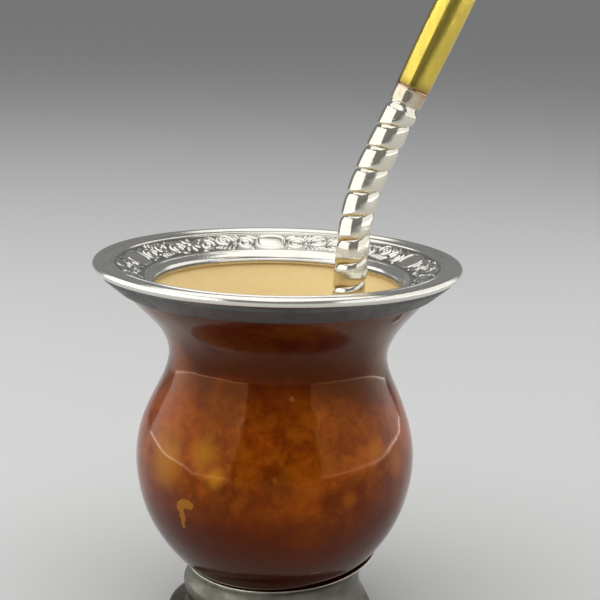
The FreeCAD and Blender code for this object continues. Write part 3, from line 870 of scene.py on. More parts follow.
@dataclass(frozen=True)
class Raised:
    """One raised form of the relief, in millimetres on the band laid flat."""

    motif: Motif
    along: float
    across: float
    length: float
    width: float
    turn: float = 0.0
    height: float = 0.3
    curl: float = 0.0

    def heights(self, along: np.ndarray, across: np.ndarray) -> np.ndarray:
        """Height of the form at places on the band.

        Args:
            along: places round the band, in millimetres.
            across: places across the band, outwards.

        Returns:
            The heights, in millimetres.
        """
        angle = math.radians(self.turn)
        shift_along = along - self.along
        shift_across = across - self.across
        forth = shift_along * math.cos(angle) + shift_across * math.sin(angle)
        side = shift_across * math.cos(angle) - shift_along * math.sin(angle)
        if self.motif is Motif.SCROLL:
            return self.scroll(forth, side)
        half = 0.5 * self.length
        share = forth / half
        side = side - self.curl * forth * forth / half
        if self.motif is Motif.DROP:
            room = 0.5 * self.width * np.sqrt(np.clip(1.0 - share ** 2, 0.0, 1.0)) * (1.0 - 0.35 * share)
            crest = np.clip(1.0 - (side / np.maximum(room, 1e-3)) ** 2, 0.0, 1.0) ** 0.5
            crease = 0.3 * np.exp(-(side / (0.12 * self.width)) ** 2)
            return self.height * crest * (1.0 - crease) * (np.abs(share) < 1.0)
        reach = (np.abs(share) ** 2.6 + np.abs(side / (0.5 * self.width)) ** 2.6) ** (1.0 / 2.6)
        if self.motif is Motif.DOME:
            return self.height * np.clip(1.0 - reach ** 2, 0.0, 1.0) ** 0.6
        return self.height * np.exp(-((reach - 1.0) * 0.5 * self.width / 0.24) ** 2)

    def scroll(self, forth: np.ndarray, side: np.ndarray) -> np.ndarray:
        """Height of a raised line that curls in from the form's edge.

        Args:
            forth: places along the form.
            side: places beside it.

        Returns:
            The heights, in millimetres.
        """
        radius = np.hypot(forth, side)
        angle = np.mod(np.sign(self.curl) * np.arctan2(side, forth), TURN)
        rise = np.zeros_like(radius)
        for wind in range(3):
            total = angle + TURN * wind
            line = 0.5 * self.length * (1.0 - total / (2.2 * TURN))
            drawn = np.clip(line / (0.16 * self.length), 0.0, 1.0)
            rise = np.maximum(rise, drawn * np.exp(-((radius - line) / (0.5 * self.width)) ** 2))
        return self.height * rise


def relief_motifs() -> list[Raised]:
    """The relief over one repeat, about its cartouche.

    Returns:
        The forms.
    """
    forms = [
        Raised(Motif.DOME, 0.0, 0.0, 6.6, 5.4, height=0.42),
        Raised(Motif.RING, 0.0, 0.0, 7.4, 6.0, height=0.5),
        Raised(Motif.DOME, 22.8, 0.3, 2.2, 2.2, height=0.55),
    ]
    for petal in range(7):
        angle = TURN * petal / 7.0
        forms.append(Raised(Motif.DROP, 22.8 + 2.0 * math.cos(angle), 0.3 + 2.0 * math.sin(angle), 2.3, 1.25,
                            math.degrees(angle), 0.42))
    for side in (-1.0, 1.0):
        forms.append(Raised(Motif.SCROLL, side * 6.9, -0.5, 5.4, 0.62, 90.0 - 90.0 * side, 0.5, side))
        forms.append(Raised(Motif.SCROLL, side * 12.4, 0.9, 5.0, 0.58, 90.0 + 90.0 * side, 0.46, -side))
        forms.append(Raised(Motif.SCROLL, side * 17.8, -0.6, 5.2, 0.6, 90.0 - 90.0 * side, 0.46, side))
        forms.append(Raised(Motif.DROP, side * 4.9, 2.4, 3.2, 1.1, side * 24.0, 0.4, 0.14 * side))
        for stroke in range(5):
            forms.append(Raised(Motif.DROP, side * (8.6 + 1.05 * stroke), 2.6 - 0.2 * stroke, 2.6, 0.8,
                                side * (66.0 - 8.0 * stroke), 0.44, -0.12 * side))
            forms.append(Raised(Motif.DROP, side * (10.4 + 1.15 * stroke), -2.3 + 0.12 * stroke, 2.4, 0.75,
                                side * (-58.0 + 9.0 * stroke), 0.42, 0.14 * side))
            forms.append(Raised(Motif.DROP, side * (15.6 + 1.0 * stroke), 2.5 - 0.1 * stroke, 2.1, 0.7,
                                side * (48.0 - 14.0 * stroke), 0.4, -0.12 * side))
        forms.append(Raised(Motif.DROP, side * 18.9, -2.7, 3.0, 1.0, side * -14.0, 0.4, 0.1))
        forms.append(Raised(Motif.DOME, side * 5.2, -2.9, 0.9, 0.9, height=0.35))
        forms.append(Raised(Motif.DOME, side * 9.7, -1.6, 0.9, 0.9, height=0.35))
        forms.append(Raised(Motif.DOME, side * 15.2, -1.9, 0.8, 0.8, height=0.3))
    return forms


@dataclass
class RimPlate:
    """The spun rim plate: bead, flat ring, raised lines, a band of scroll relief and the throat."""

    columns: int = 800
    rim_height: float = 90.0
    rim_radius: float = 45.0
    bead_radius: float = 1.2
    plate_rise: float = 0.45
    plate_thickness: float = 0.8
    band_outer: float = 40.1
    band_inner: float = 32.1
    band_drop: float = 3.5
    throat_radius: float = 30.0
    throat_depth: float = 6.0
    line_outer: float = 0.36
    line_inner: float = 0.42
    repeats: int = 5
    first_cartouche: float = 22.0
    relief_rows: int = 56
    bead_rows: int = 22
    bead_wear: float = 0.7
    band_sink: float = 0.12
    band_margin: float = 1.1
    relief_fade: float = 0.3
    worn_heights: tuple[float, float] = (0.22, 0.47)
    grimy_height: float = 0.16
    finish: MetalFinish = RIM_FINISH

    @property
    def slope(self) -> float:
        """The band's slope, in radians."""
        return math.atan2(self.band_drop, self.band_outer - self.band_inner)

    def section(self) -> tuple[np.ndarray, np.ndarray]:
        """The plate's section, outwards-in over the top and back below.

        Returns:
            Points as radius and height in millimetres, and each one's share across the band or -1 off it.
        """
        top = self.rim_height + self.plate_rise
        foot = top - self.band_drop
        bead = self.rim_radius - self.bead_radius
        # The bead, from below it round to the flat ring, and the outer line
        points: list[tuple[float, float]] = []
        for angle in np.radians(np.linspace(-118.0, 128.0, self.bead_rows)):
            points.append((bead + self.bead_radius * math.cos(angle),
                           self.rim_height + self.bead_radius * math.sin(angle)))
        points += [(bead - 1.05, top + 0.14), (bead - 1.5, top + 0.02), (bead - 2.2, top), (bead - 2.9, top)]
        points += self.raised_line(self.band_outer, top - 0.04, self.line_outer, 0.0)
        # The band, sunk a little between the lines
        before = len(points)
        fall = math.tan(self.slope)
        start = np.array([self.band_outer - 0.5, top - 0.5 * fall - self.band_sink])
        end = np.array([self.band_inner + 0.55, foot + 0.55 * fall - self.band_sink])
        for share in np.linspace(0.0, 1.0, self.relief_rows):
            points.append(tuple(start + (end - start) * share))
        after = len(points)
        # The inner line, and the round way down into the throat
        points += self.raised_line(self.band_inner, foot, self.line_inner, 0.5 * self.slope)
        throat = self.throat_radius
        points += [(throat + 1.3, foot - 0.2), (throat + 0.85, foot - 0.42), (throat + 0.4, foot - 0.85),
                   (throat + 0.12, foot - 1.4), (throat, foot - 2.1)]
        # The throat's rounded lower edge, and back up behind it
        low = self.rim_height - self.throat_depth
        points += [(throat, low + 0.9), (throat, low + 0.25), (throat + 0.2, low + 0.05), (throat + 0.4, low),
                   (throat + 0.6, low + 0.05), (throat + 0.8, low + 0.25), (throat + 0.8, foot - 1.9)]
        # The underside
        under = top - self.plate_thickness
        points += [(self.band_inner + 0.1, foot - self.plate_thickness), (self.band_outer + 0.1, under),
                   (bead - 0.9, under)]
        shares = np.full(len(points), -1.0)
        shares[before:after] = np.linspace(0.0, 1.0, self.relief_rows)
        return np.array(points), shares

    @staticmethod
    def raised_line(radius: float, height: float, size: float, slope: float) -> list[tuple[float, float]]:
        """Half-round raised line across the section.

        Args:
            radius: the line's radius round the cup.
            height: the height that it stands on.
            size: its own radius.
            slope: how much it leans.

        Returns:
            Its points, outwards-in.
        """
        points = []
        for angle in np.radians(np.linspace(12.0, 168.0, 9)):
            points.append((radius + size * math.cos(angle),
                           height + size * math.sin(angle) + size * slope * math.cos(angle)))
        return points

    def relief(self, shares: np.ndarray) -> np.ndarray:
        """Heights of the relief on the band.

        Args:
            shares: each ring's share across the band, -1 off it.

        Returns:
            Heights in millimetres, an array of rings and columns.
        """
        on_band = shares >= 0.0
        width = math.hypot(self.band_outer - self.band_inner, self.band_drop) - self.band_margin
        middle = 0.5 * (self.band_outer + self.band_inner)
        repeat = TURN / self.repeats
        angles = np.array(azimuths(self.columns)) - math.radians(self.first_cartouche)
        local = np.mod(angles + 0.5 * repeat, repeat) - 0.5 * repeat
        along, across = np.meshgrid(local * middle, (0.5 - shares[on_band]) * width)
        span = repeat * middle
        rise = np.zeros_like(along)
        for form in relief_motifs():
            for shift in (-span, 0.0, span):
                rise = np.maximum(rise, form.heights(along + shift, across))
        edge = np.clip((0.5 * width - np.abs(across)) / self.relief_fade, 0.0, 1.0)
        heights = np.zeros((len(shares), self.columns))
        heights[on_band] = rise * edge
        return heights

    def build(self) -> Object:
        """Makes the rim plate.

        Returns:
            The piece.
        """
        section, shares = self.section()
        heights = self.relief(shares)
        angles = np.array(azimuths(self.columns))
        radius = section[:, :1] * np.ones(self.columns)
        # The sheet isn't quite level all the way round
        sag = 0.05 * np.sin(2.0 * angles + 0.6) + 0.03 * np.sin(5.0 * angles + 1.9)
        height = section[:, 1:] + heights * math.cos(self.slope) + sag
        rings = np.stack([radius * np.cos(angles), radius * np.sin(angles), height], axis=-1) * MM
        worn_and_lit = np.zeros(heights.shape)
        recess = np.zeros(heights.shape)
        relief = heights[shares >= 0.0]
        low, high = self.worn_heights
        worn_and_lit[shares >= 0.0] = np.clip((relief - low) / (high - low), 0.0, 1.0)
        recess[shares >= 0.0] = np.clip(1.0 - relief / self.grimy_height, 0.0, 1.0)
        worn_and_lit[:self.bead_rows] = self.bead_wear
        piece = new_piece("rim_plate_dressed", rings, Ends.LOOPED, self.finish.material(),
                          {"wear_and_highlight": worn_and_lit, "dirt": recess})
        settle(piece, "rim_metal", "rim_plate")
        return piece


@dataclass
class SheetRing:
    """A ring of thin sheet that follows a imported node, its sides found by rays and its edges rounded.

    The pull draws the sheet in and the drift draws it to the right, between the foot and the waist.
    """

    node: str
    slot: str
    finish: MetalFinish
    low: float = 0.0
    high: Optional[float] = None
    columns: int = 480
    rows: int = 30
    room: float = 0.02 * MM
    edge: float = 0.18 * MM
    thin_wall: float = 0.1 * MM
    full_wall: float = 0.5 * MM
    lip_search: tuple[float, float] = (6.0 * MM, 30.0 * MM)
    lip_turns: tuple[float, ...] = (10.0, 35.0, 65.0, 90.0, 115.0, 145.0, 170.0)
    wave: float = 9.0 * MM
    wave_size: float = 0.09 * MM
    lip_rise: float = 0.0
    pull: float = 0.0
    drift: float = 0.0
    foot: tuple[float, float] = (0.6 * MM, 2.0 * MM)
    waist: tuple[float, float] = (2.5 * MM, 9.0 * MM)
    surface: NodeSurface = field(init=False)

    def __post_init__(self) -> None:
        """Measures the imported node."""
        self.surface = NodeSurface(self.node)

    def top_of(self, azimuth: float, wall: float) -> float:
        """Height up to which the sheet is thick enough.

        Args:
            azimuth: the angle round the cup.
            wall: the least thickness.

        Returns:
            The height, a little below the place where the sheet thins out.
        """
        if self.high is not None:
            return self.high - self.room
        low, high = self.lip_search
        direction = direction_of(azimuth)
        for _ in range(16):
            middle = 0.5 * (low + high)
            outside = self.surface.outer(on_axis(middle), direction)
            if outside and (outside - self.surface.first(on_axis(middle), direction)).length >= wall:
                low = middle
            else:
                high = middle
        return low - self.room

    def shaped(self, point: Vector) -> Vector:
        """The point with the pull and the drift.

        Args:
            point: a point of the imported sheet.

        Returns:
            The moved point.
        """
        weight = eased(point.z, *self.foot) * (1.0 - eased(point.z, *self.waist))
        away = Vector((point.x, point.y, 0.0)).normalized()
        return point - away * self.pull * weight + Vector((self.drift * weight, 0.0, 0.0))

    def sides(self, azimuth: float, share: float, top: float, inner_top: float) -> tuple[Vector, Vector]:
        """Outer and inner point of the sheet.

        Args:
            azimuth: the angle round the cup.
            share: share of the height, from the foot to the top.
            top: the outer side's highest point.
            inner_top: the inner side's highest point.

        Returns:
            The outer and the inner point.
        """
        direction = direction_of(azimuth)
        low = self.low + self.room
        outside = self.surface.outer(on_axis(low + (top - low) * share), direction)
        inside = self.surface.first(on_axis(low + (inner_top - low) * share), direction)
        inset = self.edge if share == 0.0 or (share == 1.0 and not self.lip_rise) else 0.0
        swell = self.wave_size * lumps(outside, self.wave, 5.5) * min(share * 4.0, 1.0)
        return (self.shaped(outside + direction * (swell - inset)),
                self.shaped(inside + direction * (min(swell, 0.0) + inset)))

    def lip(self, outer: Sequence[Vector], inner: Sequence[Vector]) -> list[list[Vector]]:
        """Rings over the rounded lip.

        Args:
            outer: the outer side's last ring.
            inner: the inner side's last ring.

        Returns:
            The rings, outwards-in, or none where the edge is plain.
        """
        rings = []
        for turn in np.radians(self.lip_turns if self.lip_rise else ()):
            share = 0.5 - 0.5 * math.cos(turn)
            rise = on_axis(self.lip_rise * math.sin(turn))
            rings.append([outside.lerp(inside, share) + rise for outside, inside in zip(outer, inner)])
        return rings

    def build(self, name: str) -> Object:
        """Makes the ring.

        Args:
            name: the piece's name.

        Returns:
            The piece.
        """
        edges = [(azimuth, self.top_of(azimuth, self.thin_wall), self.top_of(azimuth, self.full_wall))
                 for azimuth in azimuths(self.columns)]
        shares = np.linspace(0.0, 1.0, self.rows)
        sides = [[self.sides(azimuth, share, top, inner_top) for azimuth, top, inner_top in edges]
                 for share in shares]
        outer = [[pair[0] for pair in row] for row in sides]
        inner = [[pair[1] for pair in row] for row in sides]
        lip = self.lip(outer[-1], inner[-1])
        rings = ring_array(outer + lip + inner[::-1])
        share = np.concatenate([shares, np.full(len(lip), 2.0), shares[::-1]])
        share = np.outer(share, np.ones(self.columns))
        # The lip rings are marked fully worn, which paints them pale: a rubbed edge and a painted highlight.
        # The other mark darkens the sheet towards its foot, where the finish lays its soil.
        marks = {"wear_and_highlight": np.clip(share - 1.0, 0.0, 1.0), "dirt": np.clip(1.0 - share * 1.2, 0.0, 1.0)}
        piece = new_piece(name, rings, Ends.LOOPED, self.finish.material(), marks)
        settle(piece, self.slot, self.node)
        return piece


@dataclass
class StrawLine:
    """The straw's centre line: straight in the cup, one bend, straight again. Millimetres and degrees."""

    neck: Triple = (16.643, 0.0, 68.0)
    lean: float = 3.4
    rise: float = 27.0
    bend_radius: float = 60.0
    bend_angle: float = 20.6
    curve_step: float = 0.25

    def turn(self, distance: float) -> float:
        """Lean from the upright at a distance above the neck, in radians."""
        share = (distance - self.rise) / (math.radians(self.bend_angle) * self.bend_radius)
        return math.radians(self.lean + self.bend_angle * min(max(share, 0.0), 1.0))

    def centre(self, distance: float) -> Vector:
        """Point of the line.

        Args:
            distance: how far above the neck it is, along the line.

        Returns:
            The point, in millimetres.
        """
        lean = math.radians(self.lean)
        place = Vector(self.neck) + Vector((math.sin(lean), 0.0, math.cos(lean))) * min(distance, self.rise)
        if distance <= self.rise:
            return place
        angle = self.turn(distance)
        bent = Vector((math.cos(lean) - math.cos(angle), 0.0, math.sin(angle) - math.sin(lean)))
        place += bent * self.bend_radius
        spare = distance - self.rise - (angle - lean) * self.bend_radius
        return place + Vector((math.sin(angle), 0.0, math.cos(angle))) * spare

    def side(self, distance: float, azimuth: float) -> Vector:
        """Direction away from the line.

        Args:
            distance: how far above the neck it is, along the line.
            azimuth: the angle round the line, 0 on the bend's inner side.

        Returns:
            The unit vector.
        """
        lean = self.turn(distance)
        across = Vector((math.cos(lean), 0.0, -math.sin(lean)))
        return across * math.cos(azimuth) + Vector((0.0, math.sin(azimuth), 0.0))

    def curve(self, low: float, high: float) -> Object:
        """Curve object along the line, in metres.

        Args:
            low: distance at which it starts.
            high: distance at which it ends.

        Returns:
            The curve object, a row of short straight steps.
        """
        data = bpy.data.curves.new("straw_line", "CURVE")
        data.dimensions = "3D"
        spline = data.splines.new("POLY")
        count = int((high - low) / self.curve_step) + 1
        spline.points.add(count - 1)
        for index, point in enumerate(spline.points):
            point.co = (*(self.centre(low + (high - low) * index / (count - 1)) * MM), 1.0)
        return new_object("straw_line", data)


class WoundStem:
    """Geometry Nodes tree that winds a stepped strip round a line into a tube."""

    NUMBERS = {
        "Line Start": 0.0, "Start": 0.0, "Pitch": 0.0055, "Outer Radius": 0.0041, "Step": 0.0008,
        "Bore Radius": 0.0027, "Sleeve Low": 0.0, "Sleeve High": 0.06, "Run Out": 0.0012, "Inner Lift": 0.3,
    }
    COUNTS = {"Turns": 10, "Stations": 48, "Rows": 36}
    # Each row of a turn's section: share of the rows, share of the pitch above the turn's foot,
    # and shares of the step on the bend's outer side, a dome, and on its inner side, a cone
    SECTION = (
        (0.0, 0.0, 0.0, 0.0), (0.05, -0.012, 0.3, 0.3), (0.10, -0.018, 0.5, 0.5),
        (0.14, 0.005, 0.68, 0.7), (0.19, 0.05, 0.82, 0.86), (0.25, 0.12, 0.93, 0.96),
        (0.31, 0.19, 0.98, 1.0), (0.37, 0.27, 1.0, 1.0), (0.45, 0.38, 1.0, 0.96),
        (0.54, 0.52, 0.99, 0.90), (0.63, 0.65, 0.965, 0.82), (0.70, 0.74, 0.91, 0.75),
        (0.76, 0.80, 0.82, 0.69), (0.82, 0.85, 0.70, 0.61), (0.88, 0.90, 0.52, 0.49),
        (0.94, 0.95, 0.28, 0.29), (1.0, 1.0, 0.0, 0.0))
    HEIGHT, DOME, CONE = 1, 2, 3
    # A curve node holds 0 to 1 only, so the heights are shifted and shrunk for it
    SHARE_ROOM = 0.1
    SHARE_SPAN = 1.1
    MERGE_DISTANCE = 0.000002

    def __init__(self) -> None:
        """Builds the tree."""
        data = bpy.data.node_groups.new("wound_stem", "GeometryNodeTree")
        new_socket = data.interface.new_socket
        new_socket("Geometry", in_out="OUTPUT", socket_type="NodeSocketGeometry")
        for label, kind in (("Geometry", "Geometry"), ("Line", "Object"), ("Material", "Material")):
            new_socket(label, in_out="INPUT", socket_type="NodeSocket" + kind)
        for kind, values in (("Float", self.NUMBERS), ("Int", self.COUNTS)):
            for label, value in values.items():
                new_socket(label, in_out="INPUT", socket_type="NodeSocket" + kind).default_value = value
        self.tree = Tree(data)
        self.take = dict(self.tree.add("NodeGroupInput").outputs.items())
        feeds = {"Object": self.take["Line"]}
        info = self.tree.add("GeometryNodeObjectInfo", feeds, transform_space="RELATIVE")
        self.line = info.outputs["Geometry"]
        self.finish()

    def section(self, value: int, share: Any) -> NodeSocket:
        """One number of the section.

        Args:
            value: the number's place in each row of the section.
            share: share of the rows.

        Returns:
            The number, on a smooth curve through the rows.
        """
        node = self.tree.add("ShaderNodeFloatCurve", {"Value": share})
        curve = node.mapping.curves[0]
        while len(curve.points) < len(self.SECTION):
            curve.points.new(0.5, 0.5)
        for point, row in zip(curve.points, self.SECTION):
            place = row[value]
            if value == self.HEIGHT:
                place = (place + self.SHARE_ROOM) / self.SHARE_SPAN
            point.location = (row[0], place)
            point.handle_type = "AUTO"
        node.mapping.update()
        return node.outputs[0]

    def linear(self, shares: Sequence[Any], form: Sequence[Any]) -> NodeSocket:
        """A number that changes evenly over a grid.

        Args:
            shares: the shares along and across the grid.
            form: factor of the first share, factor of the second, and what is added.

        Returns:
            The number.
        """
        tree = self.tree
        slope = tree.plus(tree.times(shares[0], form[0]), tree.times(shares[1], form[1]))
        return tree.plus(slope, form[2])

    def profile(self, turns: Any, angle: Any, share: Any, wall: Any) -> tuple[Any, Any]:
        """Where a point of the section lies.

        Args:
            turns: number of turns since the winding's start.
            angle: angle round the line.
            share: share of the section's rows.
            wall: share of the way from the bore, 0, to the skin, 1.

        Returns:
            The distance along the line and the radius.
        """
        tree, take = self.tree, self.take
        height = tree.minus(tree.times(self.section(self.HEIGHT, share), self.SHARE_SPAN), self.SHARE_ROOM)
        inner_side = tree.times(tree.plus(tree.math("COSINE", angle), 1.0), 0.5)
        depth = tree.between(inner_side, self.section(self.DOME, share), self.section(self.CONE, share))
        distance = tree.plus(take["Start"], tree.times(tree.plus(turns, height), take["Pitch"]))
        above = tree.minus(distance, take["Sleeve Low"])
        below = tree.minus(take["Sleeve High"], distance)
        bare = tree.math("DIVIDE", tree.math("MINIMUM", above, below), take["Run Out"])
        bare = tree.add("ShaderNodeClamp", {0: tree.minus(bare, 0.5)}).outputs[0]
        overlap = tree.plus(1.0, tree.times(take["Inner Lift"], tree.math("COSINE", angle)))
        sunk = tree.minus(1.0, tree.times(depth, bare))
        skin = tree.minus(take["Outer Radius"], tree.times(tree.times(take["Step"], overlap), sunk))
        room = tree.minus(skin, take["Bore Radius"])
        return distance, tree.plus(take["Bore Radius"], tree.times(room, wall))

    def around(self, distance: Any, radius: Any, angle: Any) -> NodeSocket:
        """Place round the line.

        Args:
            distance: how far along the line.
            radius: how far from it.
            angle: angle round it, 0 on the bend's inner side.

        Returns:
            The place.
        """
        tree = self.tree
        feeds = {"Curves": self.line, "Length": tree.minus(distance, self.take["Line Start"])}
        sample = tree.add("GeometryNodeSampleCurve", feeds, mode="LENGTH", use_all_curves=True)
        backwards = (0.0, 1.0, 0.0)
        side = tree.vector("CROSS_PRODUCT", backwards, sample.outputs["Tangent"])
        first = tree.scaled(side, tree.times(radius, tree.math("COSINE", angle)))
        second = tree.scaled(backwards, tree.times(radius, tree.math("SINE", angle)))
        return tree.vector("ADD", sample.outputs["Position"], tree.vector("ADD", first, second))

    def patch(self, columns: Any, rows: Any, turn: Sequence[Any], row: Sequence[Any],
              wall: Sequence[Any]) -> NodeSocket:
        """One sheet of the stem's skin, made from a grid.

        Args:
            columns: number of points along the grid.
            rows: number of points across it.
            turn: the number of turns, as a form over the grid.
            row: the share of the section's rows, as a form.
            wall: the share of the way from the bore to the skin, as a form.

        Returns:
            The sheet's geometry.
        """
        tree = self.tree
        feeds = {"Size X": 1.0, "Size Y": 1.0, "Vertices X": columns, "Vertices Y": rows}
        grid = tree.add("GeometryNodeMeshGrid", feeds)
        place = tree.add("ShaderNodeSeparateXYZ", {0: tree.add("GeometryNodeInputPosition").outputs[0]})
        shares = [tree.plus(place.outputs[axis], 0.5) for axis in (0, 1)]
        turns, share, between = (self.linear(shares, form) for form in (turn, row, wall))
        angle = tree.times(turns, TURN)
        distance, radius = self.profile(turns, angle, share, between)
        goal = self.around(distance, radius, angle)
        moved = tree.add("GeometryNodeSetPosition", {"Geometry": grid.outputs["Mesh"], "Position": goal})
        # Painted shade: the rows at both ends of each turn's section lie down in the groove between turns.
        # They are marked to take the finish's near-black soil, a painted shadow there with some grime.
        stain_and_shade = tree.math("MAXIMUM", tree.spread(share, 0.10, 0.16, 1.0, 0.0), tree.spread(share, 0.95, 1.0))
        feeds = {"Geometry": moved.outputs[0], "Name": "dirt", "Value": stain_and_shade}
        marked = tree.add("GeometryNodeStoreNamedAttribute", feeds, data_type="FLOAT", domain="POINT")
        return marked.outputs[0]

    def finish(self) -> None:
        """Adds the sheets that close the stem, joins them and sets the finish."""
        tree = self.tree
        turns, rows = self.take["Turns"], self.take["Rows"]
        long_side = tree.plus(tree.times(turns, self.take["Stations"]), 1.0)
        one_turn = tree.plus(self.take["Stations"], 1.0)
        along, across = (1.0, 0.0, 0.0), (0.0, 1.0, 0.0)
        low, high = (0.0, 0.0, 0.0), (0.0, 0.0, 1.0)
        join = tree.add("GeometryNodeJoinGeometry")
        for sheet in (
                self.patch(long_side, rows, (turns, 0.0, 0.0), across, high),
                self.patch(long_side, rows, (turns, 0.0, 0.0), across, low),
                self.patch(one_turn, 2, along, low, across),
                self.patch(one_turn, 2, (1.0, 0.0, tree.minus(turns, 1.0)), high, across),
                self.patch(rows, 2, low, along, across),
                self.patch(rows, 2, (0.0, 0.0, turns), along, across)):
            tree.feed(join.inputs[0], sheet)
        feeds = {"Geometry": join.outputs[0], "Distance": self.MERGE_DISTANCE}
        merged = tree.add("GeometryNodeMergeByDistance", feeds)
        smooth = tree.add("GeometryNodeSetShadeSmooth", {"Geometry": merged.outputs[0]})
        real = tree.add("GeometryNodeRealizeInstances", {"Geometry": smooth.outputs[0]})
        feeds = {"Geometry": real.outputs[0], "Material": self.take["Material"]}
        dressed = tree.add("GeometryNodeSetMaterial", feeds)
        leave = tree.add("NodeGroupOutput")
        tree.feed(leave.inputs[0], dressed.outputs[0])

    def wind(self, name: str, line: Object, material: Material, values: dict) -> Object:
        """Winds one stem.

        Args:
            name: the piece's name.
            line: the centre line's curve object.
            material: the stem's finish.
            values: numbers and counts for the tree's inputs, by name.

        Returns:
            The stem as a plain mesh object.
        """
        host = new_object(name + "_host", bpy.data.meshes.new(name + "_host"))
        modifier = host.modifiers.new("wound_stem", "NODES")
        modifier.node_group = self.tree.tree
        items = self.tree.tree.interface.items_tree
        sockets = {item.name: item.identifier for item in items if item.in_out == "INPUT"}
        for label, value in {"Line": line, "Material": material, **values}.items():
            modifier[sockets[label]] = value
        bpy.context.view_layer.update()
        evaluated = host.evaluated_get(bpy.context.evaluated_depsgraph_get())
        mesh = bpy.data.meshes.new_from_object(evaluated)
        host.modifiers.remove(modifier)
        bpy.data.objects.remove(host)
        bpy.data.objects.remove(line)
        if signed_volume(mesh) < 0.0:
            mesh.flip_normals()
        mesh.name = name
        return new_object(name, mesh)


